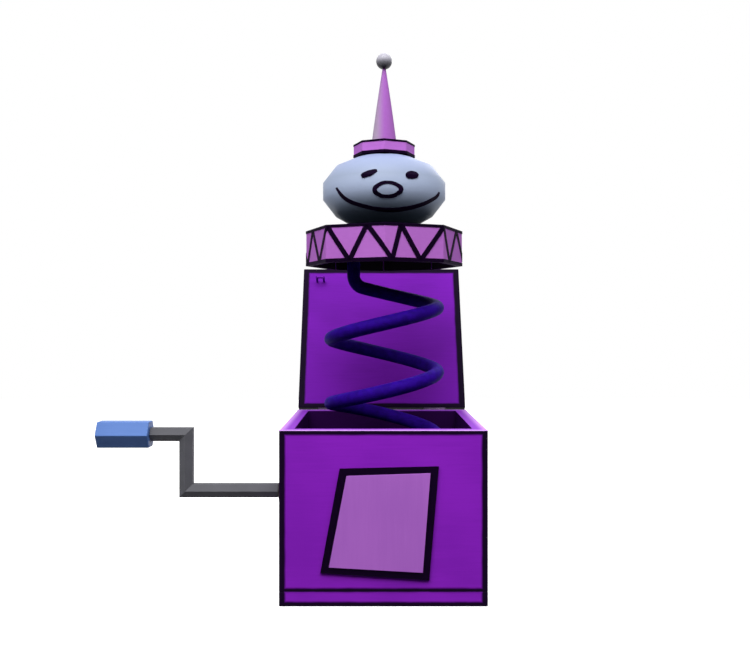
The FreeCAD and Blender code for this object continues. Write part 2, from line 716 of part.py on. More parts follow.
def make_bridge(screws):
    """The brass strip that carries the inner ends of shaft and arbor."""
    owner = body("Bridge")
    front, back = "crank_y - bridge_half_width", "crank_y + bridge_half_width"
    low, high = "post_low - bridge_end", "post_high + bridge_end"
    face = outline(sketch(owner, "YZ_Plane", "bridge_start"), [
        (front, low), (back, low), (back, high), (front, high)])
    hole(face, "inner_shaft_radius + running_clearance", "crank_y", "crank_height")
    hole(face, "arbor_radius + running_clearance", "crank_y", "arbor_height")
    round_corners(owner, pad(owner, face, "bridge_thickness"), "bridge_thickness",
                  "bridge_start + bridge_thickness / 2", (low, high))
    return sub_part(cut(owner, screws), "bridge_plate")


def make_posts(screws):
    """The two posts that space the bridge from the plate."""
    for label in ("low", "high"):
        post = rod_x("post_radius", ("plate_inside", "bridge_start"),
                     "crank_y - post_set_forward", f"post_{label}")
        sub_part(cut(post, screws), f"{label}_post")


def make_movement_screws():
    """The screws of plate, bridge and comb."""
    inside, end = size("plate_inside"), size("bridge_end_x")
    front = size("-inner_y + plate_margin + plate_screw_front")
    back = size("crank_y + plate_beyond - plate_screw_back")
    low, high = size("plate_low + plate_screw_end"), size("plate_high - plate_screw_end")
    plate = screw_set("plate_screws", "small",
                      [(inside, y, z) for y in (front, back) for z in (low, high)], (1, 0, 0))
    line = size("crank_y - post_set_forward")
    bridge = screw_set("bridge_screws", "small",
                       [(end, line, size("post_low")), (end, line, size("post_high"))], (1, 0, 0))
    return plate, bridge


def make_comb(screws):
    """The steel comb beside the drum and the block it stands on."""
    owner = body("Comb")
    tracks, margin = int(size("tune_tracks")), (1 - size("comb_tine_share")) / 2
    left, step = "drum_start + side_clearance", "(drum_width - side_clearance) / tune_tracks"
    right = f"{left} + {tracks} * {step}"
    tip, root = "arbor_height + comb_rise", "arbor_height + comb_rise - comb_tine_length"
    corners = [(left, "comb_low"), (right, "comb_low"), (right, root)]
    for tine in reversed(range(tracks)):
        start, end = f"{left} + {tine + margin} * {step}", f"{left} + {tine + 1 - margin} * {step}"
        corners += [(end, root), (end, tip), (start, tip), (start, root)]
    corners.append((left, root))
    pad(owner, outline(sketch(owner, "XZ_Plane", "-comb_face"), corners), "comb_thickness")
    sub_part(cut(owner, screws), "music_comb")
    rest = block((left, right), ("-inner_y", "comb_face - comb_thickness"),
                 ("comb_low", "comb_low + comb_block_height"))
    sub_part(cut(rest, screws), "comb_block")


def make_comb_screws():
    """Two screws through the comb and its block into the front panel."""
    height = size("comb_low + comb_block_height / 2 - comb_screw_drop")
    middle, aside = size("drum_start + drum_width / 2"), size("comb_screw_spread")
    one = screw(size("small_shank"), size("small_head"), size("comb_screw_length"))
    spots = [(middle + step, size("comb_face"), height) for step in (-aside, aside)]
    return solid("comb_screws", Part.makeCompound([facing(one, spot, (0, 1, 0)) for spot in spots]))


# ---------------------------------------------------------------- lid catch

def make_lever():
    """The catch lever: tail beside the cam, hub on its pivot, nose over the keeper."""
    owner = body("Lever")
    front = "crank_y + cam_reach + swing_clearance"
    back, low, hub = f"{front} + lever_bar", "arbor_height - tail_drop", "lever_pivot_height"
    under = "box_height + lid_gap - keeper_drop + 2 * keeper_wire + swing_clearance"
    arm, nose = "keeper_y - keeper_wire - nose_reach", "keeper_y + keeper_wire + nose_overlap"
    face = outline(sketch(owner, "YZ_Plane", "lever_start"), [
        (front, low), (back, low), (back, f"{hub} - tail_neck"),
        ("pivot_y + lever_hub", hub), ("pivot_y + lever_hub_lean", f"{hub} + lever_hub"),
        (arm, f"{under} - arm_throat"), (arm, under),
        (nose, under), (nose, f"{under} + nose_tip"),
        (f"{arm} - nose_crest", f"{under} + nose_height"),
        (f"{arm} - lever_bar", f"{under} + nose_height"), (f"{arm} - lever_bar", f"{under} - arm_foot"),
        ("pivot_y - lever_hub", f"{hub} - lever_hub_chin"), (front, f"{hub} - tail_shoulder")])
    hole(face, "lever_pivot_radius + running_clearance", "pivot_y", hub)
    pad(owner, face, "lever_thickness")
    return sub_part(owner, "latch_lever")


def make_lever_pivot():
    """The headed pin in the plate that the lever turns on."""
    end = "lever_start + lever_thickness + side_clearance"
    stem = rod_x("lever_pivot_radius", ("-inner_x", end), "pivot_y", "lever_pivot_height")
    collar = rod_x("lever_pivot_radius + pivot_flange",
                   ("plate_inside", "lever_start - side_clearance"), "pivot_y", "lever_pivot_height")
    head = rod_x("lever_pivot_radius + pivot_flange", (end, f"{end} + pivot_head"),
                 "pivot_y", "lever_pivot_height")
    return sub_part(fuse(stem, collar, head), "latch_pivot")


# ---------------------------------------------------------------- coil spring

def bent_tube(start, heading, centre, axis, angle):
    """A length of the coil's tube from a start, bent about a centre."""
    circle = Part.makeCircle(size("tube_radius"), start, heading)
    return Part.Face(Part.Wire([circle])).revolve(centre, axis, angle)


def tilted_turn(start, side, climb, angle):
    """Up to half a turn of the coil from its +X side (side 1) or its -X side (side -1).

    Returns its tube, the point where it ends and the direction it ends in.
    """
    back = FreeCAD.Vector(0, 1, 0)
    across = FreeCAD.Vector(-2 * size("coil_radius") * side, 0, climb)
    centre = start + across * 0.5
    axis = FreeCAD.Vector(across).normalize().cross(back) * -side
    arm = FreeCAD.Rotation(axis, angle).multVec(start - centre)
    return bent_tube(start, back, centre, axis, angle), centre + arm, axis.cross(arm).normalize()


def upright_bend(start, heading):
    """The bend that brings the coil's end upright, and the point where it is upright."""
    bend, up = size("coil_end_bend"), FreeCAD.Vector(0, 0, 1)
    level = FreeCAD.Vector(heading.x, heading.y, 0).normalize()
    centre = start + (up - heading * heading.dot(up)).normalize() * bend
    lift = math.degrees(heading.getAngle(up))
    tube = bent_tube(start, heading, centre, heading.cross(up).normalize(), lift)
    return tube, centre + level * bend


def make_spring():
    """The coil: a flat seat, tilted half turns that meet in line, and an upright end."""
    up = FreeCAD.Vector(0, 0, 1)
    seat = FreeCAD.Vector(size("figure_side"), 0, size("seat_height"))
    end = seat + FreeCAD.Vector(size("coil_radius"), 0, 0)
    pieces = [bent_tube(end, FreeCAD.Vector(0, 1, 0), seat, up, -size("coil_seat_angle"))]
    climbs = [size("coil_first_rise")] + [size("coil_pitch / 2")] * int(size("coil_half_turns"))
    angles = [180] * (len(climbs) - 1) + [size("coil_end_angle")]
    side = 1
    for climb, angle in zip(climbs, angles):
        tube, end, heading = tilted_turn(end, side, climb, angle)
        pieces.append(tube)
        side = -side
    bend, top = upright_bend(end, heading)
    stem = Part.makeCylinder(size("tube_radius"), size("collar_ceiling") - top.z, top, up)
    solid("spring_coil", pieces[0].multiFuse(pieces[1:] + [bend, stem]).removeSplitter())
    return top


def make_socket_screws(top):
    """The two screws that hold the socket's rim under the collar's top."""
    aside = size("tube_radius + socket_wall + socket_rim / 2")
    one = screw(size("small_shank"), size("small_head"), size("socket_screw_length"))
    spots = [(top.x + step, top.y, size("collar_ceiling - socket_flange")) for step in (-aside, aside)]
    return solid("socket_screws",
                 Part.makeCompound([facing(one, spot, (0, 0, -1)) for spot in spots]))


def make_socket(top, screws):
    """The flanged cup under the collar that holds the coil's upright end."""
    tube, ceiling, flange = size("tube_radius"), size("collar_ceiling"), size("socket_flange")
    outer, length = size("tube_radius + socket_wall"), size("socket_length")
    low = FreeCAD.Vector(top.x, top.y, ceiling - length)
    cup = Part.makeCylinder(outer, length, low)
    rim = Part.makeCylinder(outer + size("socket_rim"), flange,
                            FreeCAD.Vector(top.x, top.y, ceiling - flange))
    room = Part.makeCylinder(size("collar_inside * cos(22.5) - side_clearance"), ceiling,
                             FreeCAD.Vector(size("figure_side"), 0, 0))
    bore = Part.makeCylinder(tube, length, low)
    return solid("spring_socket", cup.fuse(rim.common(room)).cut(bore).cut(screws.Shape))


def make_clamps():
    """Three saddles that hold the coil's flat turn to the base."""
    reach, tube, floor = size("coil_radius"), size("tube_radius"), size("base_thickness")
    wall, width, middle = size("clamp_wall"), size("clamp_width"), size("figure_side")
    ring = Part.makeTorus(reach, tube, FreeCAD.Vector(middle, 0, size("seat_height")))
    below = FreeCAD.Vector(middle, 0, floor)
    slot = Part.makeCylinder(reach + tube, tube, below)
    slot = slot.cut(Part.makeCylinder(reach - tube, tube, below))
    saddles = []
    for number in range(int(size("clamp_count"))):
        saddle = Part.makeBox(2 * (tube + wall), width, 2 * tube + wall,
                              FreeCAD.Vector(middle + reach - tube - wall, -width / 2, floor))
        saddle.rotate(FreeCAD.Vector(middle, 0, 0), FreeCAD.Vector(0, 0, 1),
                      size(f"clamp_first_angle + {number} * clamp_step_angle"))
        saddles.append(saddle.cut(slot).cut(ring).removeSplitter())
    return solid("spring_clamps", Part.makeCompound(saddles))


# ---------------------------------------------------------------- figure

def neck_dowel():
    """The round peg through the collar's top into the head."""
    return rod_z("neck_dowel_radius", "figure_side", "0",
                 ("collar_ceiling", "collar_ceiling + neck_dowel_length"))


def make_collar(screws):
    """The eight-sided collar, hollow from below."""
    owner = body("Collar")
    ring = outline(sketch(owner, "XY_Plane", "collar_low"),
                   regular(8, "collar_radius", "figure_side", "0"))
    outer = pad(owner, ring, "collar_height")
    soften(owner, outer, "edge_round", lambda middle: True)
    hollow = outline(sketch(owner, "XY_Plane", "collar_low"),
                     regular(8, "collar_inside", "figure_side", "0"))
    pocket = pad(owner, hollow, "collar_height - collar_top", "PartDesign::Pocket")
    pocket.Reversed = True
    return sub_part(cut(owner, screws, neck_dowel()), "collar")


def make_head():
    """The round head, turned in bands that run into one another."""
    owner = body("Head")
    section = outline(sketch(owner, "XZ_Plane"), [
        ("0", "collar_crown"), ("head_foot_radius", "collar_crown"),
        ("crown_radius", "head_centre - chin_rise"),
        ("shoulder_radius", "head_centre - shoulder_rise"),
        ("head_radius", "head_centre - head_belt / 2"),
        ("head_radius", "head_centre + head_belt / 2"),
        ("shoulder_radius", "head_centre + shoulder_rise"),
        ("crown_radius", "head_centre + crown_rise"),
        ("head_top_radius", "brim_low"), ("0", "brim_low")])
    form = owner.newObject("PartDesign::Revolution", "Turn")
    form.Profile = section
    form.ReferenceAxis = (section, ["V_Axis"])
    low, high = size("collar_crown"), size("brim_low")
    soften(owner, form, "head_round",
           lambda middle: math.hypot(middle.x, middle.y) < NEAR and low < middle.z < high)
    place(owner, "figure_side")
    return sub_part(cut(owner, neck_dowel()), "head")


def make_hat():
    """The eight-sided brim, the soft cone and the ball that ends it."""
    owner = body("Brim")
    ring = outline(sketch(owner, "XY_Plane", "brim_low"),
                   regular(8, "brim_radius", "figure_side", "0"))
    brim = pad(owner, ring, "brim_height")
    soften(owner, brim, "edge_round", lambda middle: True)
    sub_part(owner, "hat_brim")
    cone = DOC.addObject("Part::Cone", "Cone")
    bind(cone, Radius1="hat_radius", Radius2="hat_tip_radius", Height="hat_height")
    place(cone, "figure_side", "0", "brim_crown")
    sub_part(cone, "hat_cone")
    ball = DOC.addObject("Part::Sphere", "Ball")
    bind(ball, Radius="ball_radius")
    place(ball, "figure_side", "0", "ball_centre")
    seat = rod_z("hat_tip_radius + 2 * running_clearance", "figure_side", "0",
                 ("hat_tip - 2 * ball_seat", "hat_tip"))
    sub_part(cut(ball, seat), "hat_ball")


# ---------------------------------------------------------------- assembly

def build():
    """Make every sub-part."""
    fill_sheet()
    base_screws = make_base_screws()
    make_base(base_screws)
    box_screws = make_lid_and_hinges()
    plate_screws, bridge_screws = make_movement_screws()
    comb_screws = make_comb_screws()
    end_panel("front_panel", "-1", base_screws, comb_screws)
    end_panel("rear_panel", "1", base_screws, box_screws)
    bush_hole = rod_x("bush_radius", ("-half_width", "-inner_x"), "crank_y", "crank_height")
    side_panel("left_panel", "-1", base_screws, plate_screws, bush_hole)
    side_panel("right_panel", "1", base_screws)
    make_plaque()
    make_crank_bush()
    make_crank(make_grip_screw())
    make_grip()
    make_gears()
    make_cam()
    make_drum()
    sub_part(arbor_rod(), "drum_arbor")
    make_plate(plate_screws)
    make_bridge(bridge_screws)
    make_posts(bridge_screws)
    make_comb(comb_screws)
    make_lever()
    make_lever_pivot()
    spring_top = make_spring()
    socket_screws = make_socket_screws(spring_top)
    make_socket(spring_top, socket_screws)
    make_clamps()
    make_collar(socket_screws)
    sub_part(neck_dowel(), "neck_dowel")
    make_head()
    make_hat()
    DOC.recompute()


def check():
    """Stop if any object failed or any sub-part has no sound shape."""
    for item in DOC.Objects:
        if "Invalid" in item.State or "Error" in item.State:
            raise RuntimeError(f"{item.Name} ({item.Label}) did not build: {item.State}")
    for item in SUB_PARTS:
        if item.Shape.isNull() or not item.Shape.isValid():
            raise RuntimeError(f"{item.Label} has no sound shape")


def write():
    """Write each sub-part to its own file."""
    os.makedirs("parts", exist_ok=True)
    for item in SUB_PARTS:
        item.Shape.exportStep(f"parts/{item.Label}.step")
        print(item.Label, len(item.Shape.Solids), round(item.Shape.Volume, 1))


build()
check()
write()
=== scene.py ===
"""A jack in the box: painted plywood cabinet, side crank, sprung figure with a pointed hat."""
import logging
import math
from dataclasses import dataclass
from enum import Enum
from functools import cache
from typing import Sequence

import bpy
from mathutils import Matrix, Vector


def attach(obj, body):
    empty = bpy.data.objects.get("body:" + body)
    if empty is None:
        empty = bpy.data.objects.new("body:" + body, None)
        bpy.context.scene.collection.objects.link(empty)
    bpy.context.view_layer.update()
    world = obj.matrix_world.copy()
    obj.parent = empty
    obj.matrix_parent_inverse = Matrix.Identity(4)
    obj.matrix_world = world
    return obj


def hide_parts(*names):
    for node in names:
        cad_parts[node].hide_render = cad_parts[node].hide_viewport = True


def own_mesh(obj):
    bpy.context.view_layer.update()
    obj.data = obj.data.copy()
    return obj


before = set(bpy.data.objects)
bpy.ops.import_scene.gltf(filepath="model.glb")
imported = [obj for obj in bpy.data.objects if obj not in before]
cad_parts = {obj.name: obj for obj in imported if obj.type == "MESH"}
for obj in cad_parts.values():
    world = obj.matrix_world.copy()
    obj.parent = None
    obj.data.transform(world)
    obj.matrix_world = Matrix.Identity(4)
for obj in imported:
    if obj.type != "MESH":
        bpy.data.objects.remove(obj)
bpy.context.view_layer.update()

LOG = logging.getLogger("jack_in_the_box")
MM = 0.001

Socket = bpy.types.NodeSocket
Piece = bpy.types.Object


# ---------------------------------------------------------------- colours and node trees

def linear(code: str) -> tuple[float, float, float, float]:
    """Turn an sRGB hex colour into the linear values that shaders use.

    Args:
        code: Six hex digits.

    Returns:
        Red, green, blue and an alpha of 1.
    """
    parts = [int(code[place:place + 2], 16) / 255 for place in (0, 2, 4)]
    light = [part / 12.92 if part <= 0.04045 else ((part + 0.055) / 1.055) ** 2.4
             for part in parts]
    return (light[0], light[1], light[2], 1.0)


class Graph:
    """The node tree of a material or a world, built one node at a time."""

    def __init__(self, owner: bpy.types.Material | bpy.types.World) -> None:
        """Clear the owner's tree."""
        owner.use_nodes = True
        self.owner = owner
        self.tree = owner.node_tree
        self.tree.nodes.clear()

    def add(self, kind: str, inputs: dict | Sequence = (), output: int | str = 0,
            **settings: object) -> Socket | None:
        """Add a node with its settings and links.

        Args:
            kind: The node's type, without its ShaderNode prefix.
            inputs: What each input gets, by name, by number or in order: a socket or a value.
            output: Which output to give back, by name or number.
            settings: The node's own properties.

        Returns:
            The chosen output socket, or nothing where the node has none.
        """
        node = self.tree.nodes.new("ShaderNode" + kind)
        for key, value in settings.items():
            setattr(node, key, value)
        pairs = inputs.items() if isinstance(inputs, dict) else enumerate(inputs)
        for key, value in pairs:
            if isinstance(value, Socket):
                self.tree.links.new(value, node.inputs[key])
            else:
                node.inputs[key].default_value = value
        return node.outputs[output] if node.outputs else None


# ---------------------------------------------------------------- finishes

class Stroke(Enum):
    """Which way brush marks or a tool's marks run, as how far a noise is drawn out."""

    ALONG_X = (0.06, 1.0, 1.0)
    UPRIGHT = (1.0, 1.0, 0.06)
    ROUND = (1.0, 1.0, 1.0)


@dataclass(frozen=True)
class Finish:
    """What a surface is made of, and how it was made."""

    name: str

    def place(self, graph: Graph) -> Socket:
        """Give where a point lies on the piece, in metres."""
        return graph.add("TexCoord", output="Object")

    def shade(self, graph: Graph, place: Socket) -> dict[str, object]:
        """Give the shader's inputs.

        Args:
            graph: The node tree.
            place: Where the point lies.

        Returns:
            Sockets and values by the name of the shader's input.
        """
        raise NotImplementedError(self.name)

    def build(self) -> bpy.types.Material:
        """Build the finish's material."""
        graph = Graph(bpy.data.materials.new(self.name))
        shader = graph.add("BsdfPrincipled", self.shade(graph, self.place(graph)))
        graph.add("OutputMaterial", [shader])
        return graph.owner


@cache
def material_of(finish: Finish) -> bpy.types.Material:
    """Build a finish's material once, however many pieces wear it."""
    return finish.build()


@dataclass(frozen=True)
class Paint(Finish):
    """Oil enamel brushed on wood: deep colour, a low sheen, and long faint brush marks."""

    colour: str
    deep: str
    stroke: Stroke = Stroke.UPRIGHT
    roughness: float = 0.55
    sheen_level: float = 0.03
    mark_mm: float = 1.6
    cloud_mm: float = 45

    def coat(self, graph: Graph, place: Socket, marks: Socket) -> Socket:
        """Give the paint's colour: a little deeper in broad clouds and in the brush marks.

        Args:
            graph: The node tree.
            place: Where the point lies.
            marks: The brush marks' height.

        Returns:
            The colour.
        """
        cloud = graph.add("TexNoise", {"Vector": place, "Scale": 1 / (self.cloud_mm * MM),
                                       "Detail": 1.0})
        mixed = graph.add("Math", [cloud, 0.65], operation="MULTIPLY")
        share = graph.add("Math", [marks, 0.35, mixed], operation="MULTIPLY_ADD")
        spread = graph.add("MapRange", [share, 0.34, 0.7], interpolation_type="SMOOTHSTEP")
        return graph.add("Mix", {0: spread, 6: linear(self.colour), 7: linear(self.deep)}, 2,
                         data_type="RGBA")

    def shade(self, graph: Graph, place: Socket) -> dict[str, object]:
        """Brush the paint on: fine marks drawn out along the stroke, raised a little."""
        drawn = graph.add("Mapping", {"Vector": place, "Scale": self.stroke.value})
        marks = graph.add("TexNoise", {"Vector": drawn, "Scale": 1 / (self.mark_mm * MM),
                                       "Detail": 3.0, "Roughness": 0.6})
        relief = graph.add("Bump", {"Height": marks, "Strength": 0.2, "Distance": 0.1 * MM})
        return {"Base Color": self.coat(graph, place, marks), "Roughness": self.roughness,
                "Specular IOR Level": self.sheen_level, "Normal": relief}


@dataclass(frozen=True)
class Edging(Paint):
    """The same enamel, edged in dark plum by hand with a soft, slightly wavering line."""

    edge: str = "10021C"
    soft_mm: float = 2.0
    waver_mm: float = 0.8

    def waver(self, graph: Graph, place: Socket) -> Socket:
        """Give how far the hand strayed from the line, in metres."""
        drift = graph.add("TexNoise", {"Vector": place, "Scale": 1 / (14 * MM), "Detail": 1.0})
        return graph.add("Math", [drift, self.waver_mm * MM, -self.waver_mm * MM / 2],
                         operation="MULTIPLY_ADD")

    def line(self, graph: Graph, distance: Socket, width_mm: float, waver: Socket) -> Socket:
        """Give 1 within a line's width of where a distance is 0, falling off softly.

        Args:
            graph: The node tree.
            distance: Distance from the line's start, in metres.
            width_mm: The line's width.
            waver: How far the hand strayed there.

        Returns:
            The line's mask.
        """
        drawn = graph.add("Math", [distance, waver], operation="ADD")
        return graph.add("MapRange", [drawn, (width_mm - self.soft_mm / 2) * MM,
                                      (width_mm + self.soft_mm / 2) * MM, 1.0, 0.0],
                         interpolation_type="SMOOTHSTEP")

    def edged(self, graph: Graph, base: Socket, masks: Sequence[Socket]) -> Socket:
        """Lay the plum over a colour wherever any mask is strong.

        Args:
            graph: The node tree.
            base: The colour below.
            masks: The lines' masks.

        Returns:
            The colour.
        """
        joined = masks[0]
        for mask in masks[1:]:
            joined = graph.add("Math", [joined, mask], operation="MAXIMUM")
        return graph.add("Mix", {0: joined, 6: base, 7: linear(self.edge)}, 2, data_type="RGBA")


@dataclass(frozen=True)
class CabinetPaint(Edging):
    """Violet enamel outside, a painted highlight paling the rim towards its outer edge, and dark
    plum inside.
    """

    half_mm: float = 70
    height_mm: float = 118
    wall_mm: float = 9.5
    side_line_mm: float = 4.2
    top_line_mm: float = 3.3
    bottom_line_mm: float = 3.3
    seam_mm: float = 11
    seam_line_mm: float = 1.5
    rim: str = "8034B2"
    rim_highlight: str = "C48EE0"
    inside: str = "2B0743"

    def coat(self, graph: Graph, place: Socket, marks: Socket) -> Socket:
        """Lay the edging on the outside, then the rim and the inside."""
        across, depth, up = graph.add("SeparateXYZ", [place]).node.outputs
        across = graph.add("Math", [across], operation="ABSOLUTE")
        depth = graph.add("Math", [depth], operation="ABSOLUTE")
        near = graph.add("Math", [across, depth], operation="MINIMUM")
        far = graph.add("Math", [across, depth], operation="MAXIMUM")
        waver = self.waver(graph, place)
        side = graph.add("Math", [self.half_mm * MM, near], operation="SUBTRACT")
        top = graph.add("Math", [self.height_mm * MM, up], operation="SUBTRACT")
        seam = graph.add("Math", [up, self.seam_mm * MM], operation="SUBTRACT")
        seam = graph.add("Math", [seam], operation="ABSOLUTE")
        outside = self.edged(graph, super().coat(graph, place, marks), [
            self.line(graph, side, self.side_line_mm, waver),
            self.line(graph, top, self.top_line_mm, waver),
            self.line(graph, up, self.bottom_line_mm, waver),
            self.line(graph, seam, self.seam_line_mm, waver)])
        # Painted highlight: the rim's top pales towards its outer edge, as a lit arris would.
        tint_share = graph.add("MapRange", [far, (self.half_mm - self.wall_mm * 0.65) * MM,
                                      self.half_mm * MM], interpolation_type="SMOOTHSTEP")
        rim = graph.add("Mix", {0: tint_share, 6: linear(self.rim), 7: linear(self.rim_highlight)}, 2,
                        data_type="RGBA")
        skin = graph.add("Math", [far, (self.half_mm - 2) * MM], operation="GREATER_THAN")
        upper = graph.add("Math", [up, (self.height_mm - 0.35) * MM], operation="GREATER_THAN")
        walls = graph.add("Mix", {0: skin, 6: linear(self.inside), 7: outside}, 2,
                          data_type="RGBA")
        return graph.add("Mix", {0: upper, 6: walls, 7: rim}, 2, data_type="RGBA")


@dataclass(frozen=True)
class LidPaint(Edging):
    """Violet enamel edged all round the lid, laid out as the lid lies when shut."""

    hinge_mm: tuple[float, float] = (71.8, 118)
    open_degrees: float = 116
    half_mm: float = 70
    front_mm: float = -63.3
    back_mm: float = 70
    side_line_mm: float = 5.4
    front_line_mm: float = 4.6
    back_line_mm: float = 3.8

    def place(self, graph: Graph) -> Socket:
        """Give where a point lies once the open lid is swung shut about its hinge."""
        hinge = Vector((0, *self.hinge_mm)) * MM
        shut = Matrix.Rotation(math.radians(self.open_degrees), 4, "X")
        return graph.add("Mapping", {"Vector": super().place(graph),
                                     "Location": hinge - shut @ hinge,
                                     "Rotation": shut.to_euler()})

    def coat(self, graph: Graph, place: Socket, marks: Socket) -> Socket:
        """Lay the edging on both faces and round the board's edge."""
        across, depth, _ = graph.add("SeparateXYZ", [place]).node.outputs
        across = graph.add("Math", [across], operation="ABSOLUTE")
        waver = self.waver(graph, place)
        side = graph.add("Math", [self.half_mm * MM, across], operation="SUBTRACT")
        front = graph.add("Math", [depth, self.front_mm * MM], operation="SUBTRACT")
        back = graph.add("Math", [self.back_mm * MM, depth], operation="SUBTRACT")
        return self.edged(graph, super().coat(graph, place, marks), [
            self.line(graph, side, self.side_line_mm, waver),
            self.line(graph, front, self.front_line_mm, waver),
            self.line(graph, back, self.back_line_mm, waver)])


@dataclass(frozen=True)
class RingPaint(Edging):
    """Mauve enamel on an eight-sided ring, nearly black above, and with painted shade making it
    nearly black underneath and within.
    """

    edge: str = "050108"
    low_mm: float = 232.5
    high_mm: float = 259
    inside_mm: float = 53.95
    axis_mm: float = 1.2

    def coat(self, graph: Graph, place: Socket, marks: Socket) -> Socket:
        """Darken the top, and lay painted shade on the underside and in the hollow."""
        across, depth, up = graph.add("SeparateXYZ", [place]).node.outputs
        across = graph.add("Math", [across, self.axis_mm * MM], operation="SUBTRACT")
        flat = graph.add("CombineXYZ", [across, depth])
        reach = graph.add("VectorMath", [flat], "Value", operation="LENGTH")
        # Painted shade: the underside and the hollow are painted nearly black, where shade falls
        # under the ring and inside it.
        under = graph.add("Math", [up, (self.low_mm + 0.3) * MM], operation="LESS_THAN")
        above = graph.add("Math", [up, (self.high_mm - 0.3) * MM], operation="GREATER_THAN")
        within = graph.add("Math", [reach, self.inside_mm * MM], operation="LESS_THAN")
        return self.edged(graph, super().coat(graph, place, marks), [under, above, within])


@dataclass(frozen=True)
class PaintedShadeLacquer(Paint):
    """Lacquer on turned wood, pale at the crown, with painted shade darkening it to slate at the
    chin.
    """

    painted_shade_stops: tuple[tuple[float, str], ...] = ((0.0, "455668"), (0.16, "64768C"),
                                             (0.44, "B4C2E0"), (0.66, "8E99B0"))
    low_mm: float = 259
    high_mm: float = 313.9

    def coat(self, graph: Graph, place: Socket, marks: Socket) -> Socket:
        """Paint shade from the dark chin through the middle up to the pale crown."""
        up = graph.add("SeparateXYZ", [place], "Z")
        height = graph.add("MapRange", [up, self.low_mm * MM, self.high_mm * MM])
        # Painted shade: the ramp darkens the head from the crown down to the chin, standing in for
        # light from above.
        shade_ramp = graph.add("ValToRGB", [height], "Color")
        stops = shade_ramp.node.color_ramp.elements
        stops[0].position, stops[0].color = self.painted_shade_stops[0][0], linear(self.painted_shade_stops[0][1])
        stops[1].position, stops[1].color = 0.92, linear(self.colour)
        for position, shade in self.painted_shade_stops[1:]:
            stops.new(position).color = linear(shade)
        tint_share = graph.add("MapRange", [marks, 0.5, 0.85, 0.0, 0.12])
        return graph.add("Mix", {0: tint_share, 6: shade_ramp, 7: linear(self.deep)}, 2, data_type="RGBA")


@dataclass(frozen=True)
class Felt(Finish):
    """Wool felt sewn to a cone: matt and fuzzy, with painted light paling its left side."""

    colour: str
    painted_light_tint: str
    centre_mm: float
    painted_light_mm: tuple[float, float] = (-7.0, 1.0)
    fibre_mm: float = 0.5

    def shade(self, graph: Graph, place: Socket) -> dict[str, object]:
        """Matt the fibres together over a colour that painted light pales across the cone."""
        fibres = graph.add("TexNoise", {"Vector": place, "Scale": 1 / (self.fibre_mm * MM),
                                        "Detail": 4.0, "Roughness": 0.7})
        across = graph.add("SeparateXYZ", [place])
        # Painted light: the cone pales towards its left side, as though a lamp stood there.
        side = graph.add("MapRange", [across, (self.centre_mm + self.painted_light_mm[0]) * MM,
                                      (self.centre_mm + self.painted_light_mm[1]) * MM],
                         interpolation_type="SMOOTHSTEP")
        felt_colour_and_painted_light = graph.add("Mix", {0: side, 6: linear(self.painted_light_tint), 7: linear(self.colour)}, 2,
                        data_type="RGBA")
        depth = graph.add("MapRange", [fibres, 0.3, 0.75, 0.78, 1.0])
        tone = graph.add("Mix", {0: 1.0, 6: felt_colour_and_painted_light, 7: depth}, 2, data_type="RGBA",
                         blend_type="MULTIPLY")
        relief = graph.add("Bump", {"Height": fibres, "Strength": 0.5, "Distance": 0.2 * MM})
        return {"Base Color": tone, "Roughness": 0.95, "Specular IOR Level": 0.1,
                "Sheen Weight": 0.1, "Sheen Roughness": 0.5, "Normal": relief}


@dataclass(frozen=True)
class Metal(Finish):
    """Bare metal, turned, ground or plated: fine tool lines that scatter its shine."""

    colour: str
    stain: str
    roughness: float = 0.35
    grain_mm: float = 0.5
    stroke: Stroke = Stroke.ROUND

    def shade(self, graph: Graph, place: Socket) -> dict[str, object]:
        """Cut the tool lines and let the metal tarnish in patches."""
        drawn = graph.add("Mapping", {"Vector": place, "Scale": self.stroke.value})
        lines = graph.add("TexNoise", {"Vector": drawn, "Scale": 1 / (self.grain_mm * MM),
                                       "Detail": 3.0})
        cloud = graph.add("TexNoise", {"Vector": place, "Scale": 1 / (9 * MM), "Detail": 2.0})
        tarnish = graph.add("MapRange", [cloud, 0.35, 0.7], interpolation_type="SMOOTHSTEP")
        colour = graph.add("Mix", {0: tarnish, 6: linear(self.colour), 7: linear(self.stain)}, 2,
                           data_type="RGBA")
        shine = graph.add("MapRange", [lines, 0.3, 0.7, self.roughness * 0.8,
                                       self.roughness * 1.2])
        relief = graph.add("Bump", {"Height": lines, "Strength": 0.2, "Distance": 0.05 * MM})
        return {"Base Color": colour, "Metallic": 1.0, "Roughness": shine, "Normal": relief}


@dataclass(frozen=True)
class Vinyl(Finish):
    """Plasticised vinyl drawn over spring wire: deep colour, a satin sheen and faint ripples."""

    colour: str
    deep: str
    ripple_mm: float = 5.0

    def shade(self, graph: Graph, place: Socket) -> dict[str, object]:
        """Ripple the jacket and let its colour thin over the ripples."""
        ripple = graph.add("TexNoise", {"Vector": place, "Scale": 1 / (self.ripple_mm * MM),
                                        "Detail": 2.0})
        depth = graph.add("MapRange", [ripple, 0.3, 0.7], interpolation_type="SMOOTHSTEP")
        colour = graph.add("Mix", {0: depth, 6: linear(self.colour), 7: linear(self.deep)}, 2,
                           data_type="RGBA")
        relief = graph.add("Bump", {"Height": ripple, "Strength": 0.15, "Distance": 0.2 * MM})
        return {"Base Color": colour, "Roughness": 0.6, "Specular IOR Level": 0.02,
                "Normal": relief}


